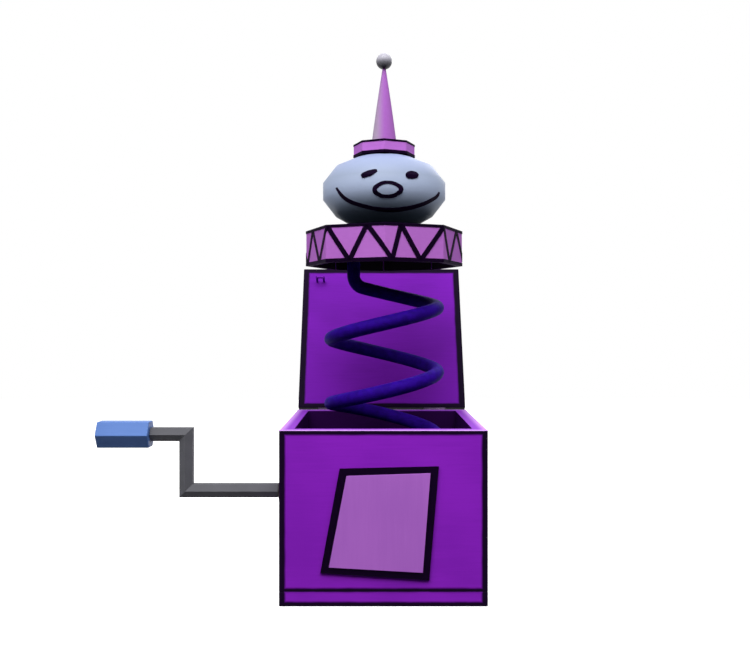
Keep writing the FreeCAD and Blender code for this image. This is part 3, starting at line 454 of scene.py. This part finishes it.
@dataclass(frozen=True)
class Pearl(Finish):
    """Moulded pearl bead: milky and smooth, with painted shade darkening it to dark grey below."""

    colour: str
    painted_shade_colour: str
    centre_mm: float
    radius_mm: float

    def shade(self, graph: Graph, place: Socket) -> dict[str, object]:
        """Paint shade on the bead, darker downwards, and break its shine with a little milkiness.
        """
        # Painted shade: the bead's colour darkens towards its underside, as if it were lit from
        # above.
        up = graph.add("SeparateXYZ", [place], "Z")
        height = graph.add("MapRange", [up, (self.centre_mm - self.radius_mm) * MM,
                                        (self.centre_mm + 0.4 * self.radius_mm) * MM],
                           interpolation_type="SMOOTHSTEP")
        colour = graph.add("Mix", {0: height, 6: linear(self.painted_shade_colour), 7: linear(self.colour)}, 2,
                           data_type="RGBA")
        milk = graph.add("TexNoise", {"Vector": place, "Scale": 1 / (2 * MM), "Detail": 2.0})
        shine = graph.add("MapRange", [milk, 0.3, 0.7, 0.3, 0.4])
        return {"Base Color": colour, "Roughness": shine, "Specular IOR Level": 0.2}


@dataclass(frozen=True)
class Beech(Finish):
    """Bare turned beech: warm and matt, with short dark flecks along the grain."""

    colour: str
    fleck: str
    fleck_mm: float = 0.6

    def shade(self, graph: Graph, place: Socket) -> dict[str, object]:
        """Fleck the wood along its grain."""
        drawn = graph.add("Mapping", {"Vector": place, "Scale": (1.0, 1.0, 0.15)})
        flecks = graph.add("TexNoise", {"Vector": drawn, "Scale": 1 / (self.fleck_mm * MM),
                                        "Detail": 2.0})
        share = graph.add("MapRange", [flecks, 0.55, 0.7], interpolation_type="SMOOTHSTEP")
        colour = graph.add("Mix", {0: share, 6: linear(self.colour), 7: linear(self.fleck)}, 2,
                           data_type="RGBA")
        return {"Base Color": colour, "Roughness": 0.6}


# Plum enamel from a fine brush: near black, and dull where it lies thin.
PLUM_LINE = Paint("plum_enamel_from_fine_brush", "10021C", "0A0114", Stroke.ROUND, 0.6, 0.02)


# ---------------------------------------------------------------- modelling helpers

def alone(piece: Piece | None = None) -> None:
    """Deselect everything but one piece, so that the next operator acts on it alone."""
    bpy.ops.object.select_all(action="DESELECT")
    if piece:
        piece.select_set(True)
        bpy.context.view_layer.objects.active = piece


def settle(name: str) -> Piece:
    """Name the active piece and sink its place, turn and size into its mesh."""
    piece = bpy.context.object
    piece.name = piece.data.name = name
    bpy.ops.object.transform_apply(location=True, rotation=True, scale=True)
    return piece


def finish_with(piece: Piece, kind: str, **settings: object) -> Piece:
    """Give a piece a modifier and apply it.

    Args:
        piece: The piece.
        kind: The modifier's type.
        settings: The modifier's properties.

    Returns:
        The piece.
    """
    alone(piece)
    modifier = piece.modifiers.new(kind.title(), kind)
    for key, value in settings.items():
        setattr(modifier, key, value)
    bpy.ops.object.modifier_apply(modifier=modifier.name)
    return piece


def join(name: str, pieces: Sequence[Piece]) -> Piece:
    """Join pieces into one of that name."""
    alone(pieces[0])
    for piece in pieces[1:]:
        piece.select_set(True)
    bpy.ops.object.join()
    pieces[0].name = pieces[0].data.name = name
    return pieces[0]


def smooth(piece: Piece, degrees: float = 35) -> Piece:
    """Shade a piece smooth apart from edges sharper than an angle."""
    alone(piece)
    bpy.ops.object.shade_smooth_by_angle(angle=math.radians(degrees))
    return piece


def lathe(name: str, axis_mm: float, profile: Sequence[tuple[float, float]], sides: int) -> Piece:
    """Turn a closed form by drawing a disc up ring by ring.

    Args:
        name: The piece's name.
        axis_mm: Where the upright axis stands along X.
        profile: Radius and height of each ring from the lowest up, in millimetres.
        sides: How many sides each ring has.

    Returns:
        The turned piece.
    """
    alone()
    radius, height = profile[0]
    bpy.ops.mesh.primitive_circle_add(vertices=sides, radius=radius * MM, fill_type="NGON",
                                      location=(axis_mm * MM, 0, height * MM))
    piece = settle(name)
    bpy.ops.object.mode_set(mode="EDIT")
    bpy.ops.mesh.select_all(action="SELECT")
    for wider, higher in profile[1:]:
        bpy.ops.mesh.extrude_region_move(
            TRANSFORM_OT_translate={"value": (0, 0, (higher - height) * MM)})
        bpy.ops.transform.resize(value=(wider / radius, wider / radius, 1),
                                 center_override=(axis_mm * MM, 0, higher * MM))
        radius, height = wider, higher
    bpy.ops.mesh.select_all(action="SELECT")
    bpy.ops.mesh.normals_make_consistent(inside=False)
    bpy.ops.object.mode_set(mode="OBJECT")
    return piece


def dress(slot: str, finish: Finish, *nodes: str) -> None:
    """Give carried-over CAD nodes a finish and report each.

    Args:
        slot: The record's material slot.
        finish: Their finish.
        nodes: The nodes' names.
    """
    material = material_of(finish)
    for name in nodes:
        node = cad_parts[name]
        node.data.materials.clear()
        node.data.materials.append(material)
        LOG.info("dressed %s in %s from slot %s", name, material.name, slot)


def hand_over(piece: Piece, body: str, slot: str, finish: Finish, *stands_for: str) -> Piece:
    """Finish a new piece, set it on its body and report it.

    Args:
        piece: The piece.
        body: The body that it rides on.
        slot: The record's material slot; not used.
        finish: Its finish.
        stands_for: The CAD nodes that it replaces.

    Returns:
        The piece.
    """
    piece.data.materials.clear()
    piece.data.materials.append(material_of(finish))
    if stands_for:
        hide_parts(*stands_for)
    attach(piece, body)
    LOG.info("made %s on %s with %d faces", piece.name, body, len(piece.data.polygons))
    return piece


# ---------------------------------------------------------------- cabinet, lid and crank

@dataclass
class Cabinet:
    """The plywood box, its base and the plaque on its front."""

    panels: tuple[str, ...] = ("front_panel", "rear_panel", "left_panel", "right_panel",
                               "base_board")
    screws: tuple[str, ...] = ("base_screws", "plate_screws", "bridge_screws", "comb_screws",
                               "hinge_screws_box", "hinge_screws_lid", "socket_screws")

    def build(self) -> None:
        """Dress the box, the plaque and the screws."""
        dress("cabinet_paint", CabinetPaint("violet_enamel_brushed_on_plywood_with_painted_rim_highlight", "9025C8",
                                            "8521BC", Stroke.ALONG_X), *self.panels)
        dress("plaque_outline", PLUM_LINE, "plaque_back")
        dress("plaque_field", Paint("lilac_enamel_brushed_on_plywood", "B46CD0", "AC66CA"),
              "plaque_field")
        # Zinc plating: pale grey metal, bright but clouded.
        dress("screw_steel", Metal("zinc_plated_screw_steel", "9A9CA3", "7C7E86"), *self.screws)


@dataclass
class Lid:
    """The lid board on its two butt hinges, and the staple that the catch holds."""

    hinges: tuple[str, ...] = ("left_box_leaf", "right_box_leaf", "left_lid_leaf",
                               "right_lid_leaf", "left_hinge_pin", "right_hinge_pin")

    def build(self) -> None:
        """Dress the board and its metalwork."""
        # Painted shade: the lid's violet is set darker than the cabinet's, so that its upturned
        # face, which catches more of the lamps, comes out the same violet.
        violet = LidPaint("violet_enamel_with_painted_shade_on_lid", "7119A6", "651596", Stroke.ALONG_X)
        dress("cabinet_paint", violet, "lid_board")
        # The staple is painted over together with the lid, so it hardly shows.
        dress("catch_steel", violet, "lid_keeper")
        # Bronzed steel: dark brown-violet metal with a dull shine.
        dress("hinge_steel", Metal("bronzed_pressed_steel", "4A3B52", "2E2436", 0.4),
              *self.hinges)
        # Blued spring steel: nearly black with a cold sheen.
        dress("catch_steel", Metal("blued_spring_steel", "3A3246", "241D2E", 0.4),
              "latch_lever", "latch_pivot")


@dataclass
class Movement:
    """The small music movement behind the left panel."""

    brasses: tuple[str, ...] = ("music_wheel", "trip_cam", "music_drum", "crank_pinion",
                                "bridge_plate")
    steels: tuple[str, ...] = ("mechanism_plate", "low_post", "high_post", "drum_arbor",
                               "music_comb", "comb_block")

    def build(self) -> None:
        """Dress the wheels, plates, drum and comb."""
        # Cut brass: warm yellow metal, tarnished brown in patches.
        dress("movement_brass", Metal("cut_brass", "C9A057", "A98342", 0.3), *self.brasses)
        # Aged brass: nearly black with old oil where the crank runs in it.
        dress("movement_brass", Metal("oil_darkened_brass", "332A28", "241C20", 0.5),
              "crank_bush")
        # Ground steel: grey metal with upright grinding lines.
        dress("movement_steel", Metal("ground_steel_plate", "8D8F94", "74767C",
                                      stroke=Stroke.UPRIGHT), *self.steels)


@dataclass
class Crank:
    """The six-sided crank bar and its six-sided grip."""

    def build(self) -> None:
        """Dress the bar, the grip and the screw on its end."""
        # Oiled black oxide hides the metal: a dull grey skin, darker where it is rubbed.
        dress("crank_steel", Paint("oiled_black_oxide_on_bar", "58585E", "525257", Stroke.ROUND,
                                   0.55, 0.12, 0.9, 14), "crank_arm")
        dress("crank_steel", Metal("oiled_black_oxide_screw", "55555B", "3C3C42", 0.45),
              "grip_screw")
        # Lacquer over beech: a smooth blue skin that follows the flats.
        dress("grip_lacquer", Paint("blue_lacquer_on_beech", "5475B4", "4E6FAE", Stroke.ALONG_X,
                                    0.4, 0.12), "crank_grip")


# ---------------------------------------------------------------- spring

@dataclass
class Spring:
    """The wide coil in its vinyl jacket: a flat seat, even turns and an upright end."""

    axis_mm: float = 1.2
    radius_mm: float = 39.8
    tube_mm: float = 5.15
    seat_mm: float = 15.15
    seat_degrees: float = 235
    first_rise_mm: float = 18.05
    rise_mm: float = 24.1
    half_turns: int = 8
    end_degrees: float = 114.5
    step_degrees: float = 7.5
    first_evenness: float = 0.25
    evenness: float = 0.6
    bend_mm: float = 10
    bend_steps: int = 8
    stem_shares: tuple[float, ...] = (0.35, 0.7, 1.0)
    ceiling_mm: float = 254
    base_mm: float = 10
    travel_mm: float = 220.5

    def height(self, degrees: float) -> float:
        """Give how high the wire lies once it has wound so far from the seat's end.

        Args:
            degrees: How far it has wound.

        Returns:
            The height of the tube's centre, in millimetres.
        """
        if degrees <= 0:
            return self.seat_mm
        half, along = divmod(degrees / 180, 1)
        start = self.seat_mm + (self.first_rise_mm + (half - 1) * self.rise_mm if half else 0)
        climb = self.rise_mm if half else self.first_rise_mm
        even = self.evenness if half else self.first_evenness
        slow = (1 - math.cos(math.pi * along)) / 2
        return start + climb * (even * along + (1 - even) * slow)

    def route(self) -> list[Vector]:
        """Lay out the line of the tube's centre, in millimetres."""
        whole = self.seat_degrees + 180 * self.half_turns + self.end_degrees
        count = round(whole / self.step_degrees)
        spots = []
        for step in range(count + 1):
            wound = whole * step / count - self.seat_degrees
            angle = math.radians(wound)
            spots.append(Vector((self.axis_mm + self.radius_mm * math.cos(angle),
                                 self.radius_mm * math.sin(angle), self.height(wound))))
        return spots + self.upright(spots)

    def upright(self, spots: Sequence[Vector]) -> list[Vector]:
        """Turn the coil's end up and take it to the collar's ceiling.

        Args:
            spots: The line so far.

        Returns:
            The rest of the line.
        """
        heading = (spots[-1] - spots[-2]).normalized()
        up = Vector((0, 0, 1))
        lift = heading.angle(up)
        normal = (up - heading * heading.dot(up)).normalized()
        pivot = spots[-1] + normal * self.bend_mm
        bend = []
        for step in range(1, self.bend_steps + 1):
            turned = lift * step / self.bend_steps
            bend.append(pivot - normal * math.cos(turned) * self.bend_mm
                        + heading * math.sin(turned) * self.bend_mm)
        top = Vector((bend[-1].x, bend[-1].y, self.ceiling_mm))
        return bend + [bend[-1].lerp(top, share) for share in self.stem_shares]

    def build(self) -> None:
        """Draw the tube along its line."""
        alone()
        bpy.ops.curve.primitive_nurbs_path_add()
        wire = bpy.context.object
        wire.data.splines.clear()
        line = wire.data.splines.new("POLY")
        spots = self.route()
        line.points.add(len(spots) - 1)
        for point, spot in zip(line.points, spots):
            point.co = (*(spot * MM), 1)
        wire.data.bevel_depth = self.tube_mm * MM
        wire.data.bevel_resolution = 6
        wire.data.use_fill_caps = True
        bpy.ops.object.convert(target="MESH")
        coil = smooth(settle("vinyl_spring_coil"), 60)
        hand_over(coil, "cabinet", "coil_vinyl",
                  Vinyl("indigo_vinyl_jacket", "28057E", "20046A"), "spring_coil")
        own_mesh(coil)
        # Pressed steel, blackened: dark and dull.
        dress("spring_fixings", Metal("blackened_pressed_steel", "35303C", "26212C", 0.45),
              "spring_clamps", "spring_socket")


# ---------------------------------------------------------------- figure

@dataclass(frozen=True)
class Line:
    """A brushed line: a thin ribbon laid along points in front of a piece and pressed onto it."""

    width_mm: float
    points: Sequence[tuple[float, float, float]]
    closed: bool = False
    thick_mm: float = 0.35
    off_mm: float = 0.05
    stand_back_mm: float = 70
    steps: tuple[int, int] = (96, 6)
    weld_mm: float = 0.2

    def guide(self) -> Piece:
        """Draw the line's path flat, each point sideways, upwards and with a share of the width."""
        alone()
        bpy.ops.curve.primitive_nurbs_path_add()
        guide = bpy.context.object
        guide.data.dimensions = "2D"
        guide.data.resolution_u = 24
        guide.data.use_radius = True
        guide.data.splines.clear()
        spline = guide.data.splines.new("BEZIER")
        spline.bezier_points.add(len(self.points) - 1)
        spline.use_cyclic_u = self.closed
        for point, (side, up, share) in zip(spline.bezier_points, self.points):
            point.co = (side * MM, up * MM, 0)
            point.handle_left_type = point.handle_right_type = "AUTO"
            point.radius = share
        return guide

    def lay(self, name: str, centre: Vector, onto: Piece) -> Piece:
        """Brush the line.

        Args:
            name: The line's name.
            centre: The drawing's centre, in millimetres.
            onto: The piece that it is brushed on.

        Returns:
            The line as a piece.
        """
        guide = self.guide()
        length = guide.data.splines[0].calc_length()
        alone()
        bpy.ops.mesh.primitive_grid_add(x_subdivisions=self.steps[0],
                                        y_subdivisions=self.steps[1], size=1,
                                        location=(length / 2, 0, 0))
        ribbon = bpy.context.object
        ribbon.scale = (length, self.width_mm * MM, 1)
        ribbon = settle(name)
        finish_with(ribbon, "CURVE", object=guide, deform_axis="POS_X")
        bpy.data.objects.remove(guide)
        ribbon.rotation_euler = (math.pi / 2, 0, 0)
        ribbon.location = (centre.x * MM, -self.stand_back_mm * MM, centre.z * MM)
        ribbon = settle(name)
        if self.closed:
            finish_with(ribbon, "WELD", merge_threshold=self.weld_mm * MM)
        finish_with(ribbon, "SHRINKWRAP", target=onto, wrap_method="PROJECT",
                    use_project_y=True, use_negative_direction=False,
                    use_positive_direction=True, offset=self.off_mm * MM)
        return finish_with(ribbon, "SOLIDIFY", thickness=self.thick_mm * MM, offset=1)


@dataclass
class Head:
    """The head, turned in bands on a lathe, with its face brushed on."""

    axis_mm: float = 1.2
    centre_mm: float = 288.2
    rings_mm: tuple[tuple[float, float], ...] = (
        (16, -29.2), (21.3, -26.8), (36.4, -18.2), (45.8, -6), (45.8, 6), (36.4, 18.2),
        (21.3, 24.9), (14, 25.7))
    face_lines: tuple[tuple[str, Line], ...] = (
        ("smile_line", Line(2.3, (
            (-34.4, -1.4, 0.55), (-32, -5.4, 0.85), (-27.6, -9.8, 1.0), (-15.4, -15, 1.0),
            (0, -17.9, 1.05), (13, -17.1, 1.1), (25, -13.9, 1.0), (35.4, -8.6, 0.85),
            (38.2, -6.2, 0.75), (39.5, -3.6, 0.5)))),
        ("nose_line", Line(2.6, (
            (-7.1, -5.3, 1.25), (-3.9, -1.6, 1.0), (2.8, -0.1, 0.8), (8.8, -1.9, 1.0),
            (11.4, -4.6, 1.25), (8.5, -7.9, 1.0), (1.6, -9.5, 0.85), (-4.6, -8.1, 1.0)), True)),
        ("left_eye_line", Line(4.4, (
            (-16.4, 4.6, 0.5), (-15, 5.1, 0.85), (-10.8, 6.6, 1.0), (-7, 7.9, 0.75),
            (-5.4, 8.5, 0.4)))),
        ("right_eye_line", Line(5.9, (
            (14.6, 5.2, 0.3), (16.1, 5.4, 0.8), (18.8, 5.9, 1.0), (21.8, 5.8, 0.85),
            (23.5, 5.2, 0.4)))))

    def build(self) -> None:
        """Turn the head in bands, blend the light over them and brush on its face."""
        profile = [(radius, self.centre_mm + rise) for radius, rise in self.rings_mm]
        head = lathe("turned_head", self.axis_mm, profile, 128)
        smooth(head, 60)
        centre = Vector((self.axis_mm, 0, self.centre_mm))
        lines = [line.lay(name, centre, head) for name, line in self.face_lines]
        hand_over(head, "figure", "head_lacquer",
                  PaintedShadeLacquer("pale_blue_lacquer_with_painted_shade_on_turned_lime", "8A95B6", "828DAE",
                            Stroke.ROUND, 0.45, 0.12), "head")
        for line in lines:
            hand_over(line, "figure", "plaque_outline", PLUM_LINE)
        dress("dowel_wood", Beech("bare_turned_beech", "C99A68", "9C6B3E"), "neck_dowel")


@dataclass
class Ring:
    """An eight-sided painted ring, a corner to the front, edged with dark hoops."""

    name: str
    axis_mm: float
    radius_mm: float
    low_mm: float
    high_mm: float
    sides: int = 8
    hoop_gap_mm: float = 0.02
    hoop_round_mm: float = 0.12

    def hoop(self, name: str, low_mm: float, high_mm: float, proud_mm: float) -> Piece:
        """Brush a hoop round the ring.

        Args:
            name: The hoop's name.
            low_mm: Its lower edge.
            high_mm: Its upper edge.
            proud_mm: How far it stands off the ring.

        Returns:
            The hoop.
        """
        alone()
        bpy.ops.mesh.primitive_cylinder_add(
            vertices=self.sides, radius=(self.radius_mm + self.hoop_gap_mm) * MM,
            depth=(high_mm - low_mm) * MM, end_fill_type="NOTHING",
            location=(self.axis_mm * MM, 0, (low_mm + high_mm) / 2 * MM))
        hoop = settle(name)
        finish_with(hoop, "SOLIDIFY", thickness=proud_mm * MM, offset=1, use_even_offset=True)
        finish_with(hoop, "BEVEL", width=self.hoop_round_mm * MM, segments=2, limit_method="ANGLE",
                    angle_limit=math.radians(60))
        return smooth(hoop, 20)


@dataclass
class Collar(Ring):
    """The collar, with a zigzag brushed round it by hand."""

    line_mm: float = 3.5
    inset_mm: float = 1.0
    overrun_mm: float = 1.0
    proud_mm: float = 0.3
    off_mm: float = 0.1
    roll_off_mm: float = 0.4
    circle_sides: int = 360
    top_hoop_mm: tuple[float, float] = (2.2, 0.1)
    bottom_hoop_mm: tuple[float, float] = (0.1, 2.6)
    corners_deg: tuple[float, ...] = (-86, -74, -58.5, -44, -27, -13, 5, 11.5, 27.2, 45, 58, 75)
    half_deg: float = 180

    def rolled(self, direction: float) -> float:
        """Give where a place on the flats lies along the strip before it is rolled up.

        Args:
            direction: The place's direction from the front towards +X, in degrees.

        Returns:
            The distance along the strip, in millimetres.
        """
        reach, turn = self.radius_mm + self.roll_off_mm, 360 / self.sides
        middle = (math.floor(direction / turn) + 0.5) * turn
        flat = self.radius_mm * math.cos(math.radians(turn / 2))
        aside = flat * math.tan(math.radians(direction - middle))
        last = self.corners_deg[0] + 2 * self.half_deg
        return reach * (math.radians(last - middle) - math.asin(aside / reach))

    def stroke(self, name: str, start: Vector, end: Vector) -> Piece:
        """Lay one straight stroke flat, facing away from the ring that it will be rolled round.

        Args:
            name: The stroke's name.
            start: Where it starts, along the strip and up, in millimetres.
            end: Where it ends.

        Returns:
            The stroke.
        """
        along, middle = end - start, (start + end) / 2
        alone()
        bpy.ops.mesh.primitive_grid_add(x_subdivisions=48, y_subdivisions=4, size=1,
                                        location=(middle.x * MM, 0, middle.y * MM))
        stroke = bpy.context.object
        stroke.scale = ((along.length + 2 * self.overrun_mm) * MM, self.line_mm * MM, 1)
        stroke.rotation_euler = (-math.pi / 2, -math.atan2(along.y, along.x), 0)
        return settle(name)

    def circle(self) -> Piece:
        """Draw the circle that the strip is rolled round, from the zigzag's last corner."""
        alone()
        # A new circle starts at the back, half a turn from the front.
        start = self.corners_deg[0] + 2 * self.half_deg - 180
        bpy.ops.mesh.primitive_circle_add(
            vertices=self.circle_sides, radius=(self.radius_mm + self.roll_off_mm) * MM,
            location=(self.axis_mm * MM, 0, 0), rotation=(0, 0, math.radians(start)))
        circle = settle("rolling_circle")
        bpy.ops.object.convert(target="CURVE")
        return circle

    def zigzag(self, onto: Piece) -> Piece:
        """Brush a straight stroke from each corner to the next, all the way round."""
        heights = (self.low_mm + self.inset_mm, self.high_mm - self.inset_mm)
        turns = [corner + turn for turn in (0, self.half_deg) for corner in self.corners_deg]
        turns.append(self.corners_deg[0] + 2 * self.half_deg)
        spots = [Vector((self.rolled(turn), heights[count % 2]))
                 for count, turn in enumerate(turns)]
        strokes = [self.stroke(f"stroke_{count}", start, end)
                   for count, (start, end) in enumerate(zip(spots[1:], spots))]
        strip, circle = join("collar_zigzag", strokes), self.circle()
        finish_with(strip, "CURVE", object=circle, deform_axis="POS_X")
        bpy.data.objects.remove(circle)
        finish_with(strip, "SHRINKWRAP", target=onto, wrap_method="NEAREST_SURFACEPOINT",
                    wrap_mode="ABOVE_SURFACE", offset=self.off_mm * MM)
        return finish_with(strip, "SOLIDIFY", thickness=self.proud_mm * MM, offset=1)

    def build(self) -> None:
        """Dress the collar and lay its hoops and zigzag."""
        down, margin = self.top_hoop_mm
        foot, rise = self.bottom_hoop_mm
        pieces = [self.zigzag(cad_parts[self.name]),
                  self.hoop("collar_top_hoop", self.high_mm - down, self.high_mm - margin,
                            self.proud_mm),
                  self.hoop("collar_bottom_hoop", self.low_mm + foot, self.low_mm + rise,
                            self.proud_mm)]
        for piece in pieces:
            hand_over(piece, "figure", "plaque_outline", PLUM_LINE)
        dress("collar_paint", RingPaint("mauve_enamel_with_painted_shade_on_collar", "B86FCB", "B068C4",
                                        Stroke.ALONG_X), self.name)


@dataclass
class Hat(Ring):
    """The hat: an eight-sided brim, a soft felt cone and a pearl bead."""

    cone_mm: float = 9.5
    tip_mm: float = 1.25
    cone_height_mm: float = 57.2
    cone_rings: int = 24
    bulge_mm: float = 0.25
    keep: float = 0.03
    bead_mm: float = 6.0
    bead_centre_mm: float = 386.6
    bead_seat: float = 0.93

    def cone(self) -> Piece:
        """Draw up the felt cone, swelling a little as a stuffed cone does."""
        profile = []
        for step in range(self.cone_rings + 1):
            share = step / self.cone_rings
            swell = self.bulge_mm * math.sin(math.pi * share)
            profile.append((self.cone_mm + (self.tip_mm - self.cone_mm) * share + swell,
                            self.high_mm + self.cone_height_mm * share))
        return smooth(lathe("felt_hat_cone", self.axis_mm, profile, 48), 50)

    def bead(self) -> Piece:
        """Make the bead that ends the hat, cut flat where it sits on the felt."""
        alone()
        bpy.ops.mesh.primitive_uv_sphere_add(
            segments=48, ring_count=24, radius=self.bead_mm * MM,
            location=(self.axis_mm * MM, 0, self.bead_centre_mm * MM))
        bead = settle("pearl_bead")
        bpy.ops.object.mode_set(mode="EDIT")
        bpy.ops.mesh.select_all(action="SELECT")
        bpy.ops.mesh.bisect(
            plane_co=(0, 0, (self.bead_centre_mm - self.bead_mm * self.bead_seat) * MM),
            plane_no=(0, 0, 1), use_fill=True, clear_inner=True)
        bpy.ops.object.mode_set(mode="OBJECT")
        return smooth(bead, 40)

    def build(self) -> None:
        """Dress the brim and make the cone and the bead."""
        pieces = [self.hoop("brim_top_hoop", self.high_mm - 1.6, self.high_mm - 0.1, 0.2),
                  self.hoop("brim_bottom_hoop", self.low_mm + 0.05, self.low_mm + 2.2, 0.25)]
        for piece in pieces:
            hand_over(piece, "figure", "plaque_outline", PLUM_LINE)
        dress("collar_paint", RingPaint("mauve_enamel_with_painted_shade_on_brim", "B86FCB", "B068C4",
                                        Stroke.ALONG_X, low_mm=self.low_mm,
                                        high_mm=self.high_mm, inside_mm=1), self.name)
        cone = hand_over(self.cone(), "figure", "hat_felt",
                         Felt("mauve_wool_felt_with_painted_light", "A864BE", "B29CBA", self.axis_mm), "hat_cone")
        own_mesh(cone)
        hand_over(self.bead(), "hat_end", "ball_pearl",
                  Pearl("moulded_pearl_bead_with_painted_shade", "A3A1AC", "141417", self.bead_centre_mm,
                        self.bead_mm), "hat_ball")


# ---------------------------------------------------------------- studio

@dataclass(frozen=True)
class Lamp:
    """A soft square lamp: where it hangs, the length of its side and its power in watts."""

    name: str
    place: tuple[float, float, float]
    size: float
    watts: float

    def hang(self, aim: Vector) -> None:
        """Hang the lamp.

        Args:
            aim: The point that it faces, in metres.
        """
        alone()
        bpy.ops.object.light_add(type="AREA", location=self.place)
        lamp = bpy.context.object
        lamp.name = self.name
        lamp.data.size = self.size
        lamp.data.energy = self.watts
        lamp.rotation_euler = (aim - Vector(self.place)).to_track_quat("-Z", "Y").to_euler()


@dataclass
class Studio:
    """The floor, the lamps and the camera."""

    lamps: tuple[Lamp, ...] = (Lamp("main_softbox", (-0.1, -0.76, 1.42), 1.2, 32),
                               Lamp("left_softbox", (-1.15, -0.5, 1.25), 1.0, 9),
                               Lamp("right_softbox", (1.15, -0.5, 1.25), 1.0, 9),
                               Lamp("rear_softbox", (0.4, 1.1, 1.1), 1.0, 7))
    lens: float = 40.75
    sensor: float = 36
    eye: tuple[float, float, float] = (-0.00565, -0.638, 0.1885)
    aim: tuple[float, float, float] = (0, 0, 0.2)
    fill: float = 0.1
    floor_size: float = 3
    floor_drop: float = 0.0001
    floor_glow: float = 0.88

    def seen(self, graph: Graph) -> Socket:
        """Give 1 to rays from the camera and to those that show in metal or glass."""
        path = graph.add("LightPath", output="Is Camera Ray")
        seen = graph.add("Math", [path, path.node.outputs["Is Glossy Ray"]], operation="MAXIMUM")
        return graph.add("Math", [seen, path.node.outputs["Is Transmission Ray"]],
                         operation="MAXIMUM")

    def floor(self) -> None:
        """Lay a pale floor that keeps the shadow and reads white where it is lit."""
        alone()
        bpy.ops.mesh.primitive_plane_add(size=self.floor_size, location=(0, 0, -self.floor_drop))
        floor = settle("studio_floor")
        graph = Graph(bpy.data.materials.new("matt_studio_paper"))
        lit = graph.add("BsdfDiffuse", {"Color": linear("E6E6E6")})
        dim = graph.add("BsdfDiffuse", {"Color": linear("262626")})
        white = graph.add("Emission", {"Color": (1, 1, 1, 1), "Strength": self.floor_glow})
        pale = graph.add("AddShader", [lit, white])
        graph.add("OutputMaterial", [graph.add("MixShader", [self.seen(graph), dim, pale])])
        floor.data.materials.append(graph.owner)

    def world(self) -> None:
        """Surround the room with soft light, white to the camera and to reflections."""
        world = bpy.data.worlds.new("studio_room")
        bpy.context.scene.world = world
        graph = Graph(world)
        fill = graph.add("Background", {"Color": (1, 1, 1, 1), "Strength": self.fill})
        white = graph.add("Background", {"Color": (1, 1, 1, 1), "Strength": 1.0})
        graph.add("OutputWorld", [graph.add("MixShader", [self.seen(graph), fill, white])])

    def camera(self) -> None:
        """Stand the camera level in front of the toy."""
        bpy.ops.object.camera_add(location=self.eye, rotation=(math.pi / 2, 0, 0))
        camera = bpy.context.object
        camera.name = "studio_camera"
        camera.data.lens = self.lens
        camera.data.sensor_width = self.sensor
        bpy.context.scene.camera = camera

    def build(self) -> None:
        """Set up the studio."""
        self.floor()
        self.world()
        for lamp in self.lamps:
            lamp.hang(Vector(self.aim))
        self.camera()
        bpy.context.scene.view_settings.view_transform = "Standard"


def main() -> None:
    """Build the toy and its studio in order."""
    logging.basicConfig(level=logging.INFO, format="%(name)s: %(message)s")
    sub_assemblies = (Cabinet(), Lid(), Movement(), Crank(), Spring(), Head(),
                      Collar("collar", 1.2, 58.5, 232.5, 259),
                      Hat("hat_brim", 1.2, 22.9, 313.9, 323.9))
    for sub_assembly in sub_assemblies:
        LOG.info("building the %s", type(sub_assembly).__name__.lower())
        sub_assembly.build()
    Studio().build()


if __name__ == "__main__":
    main()
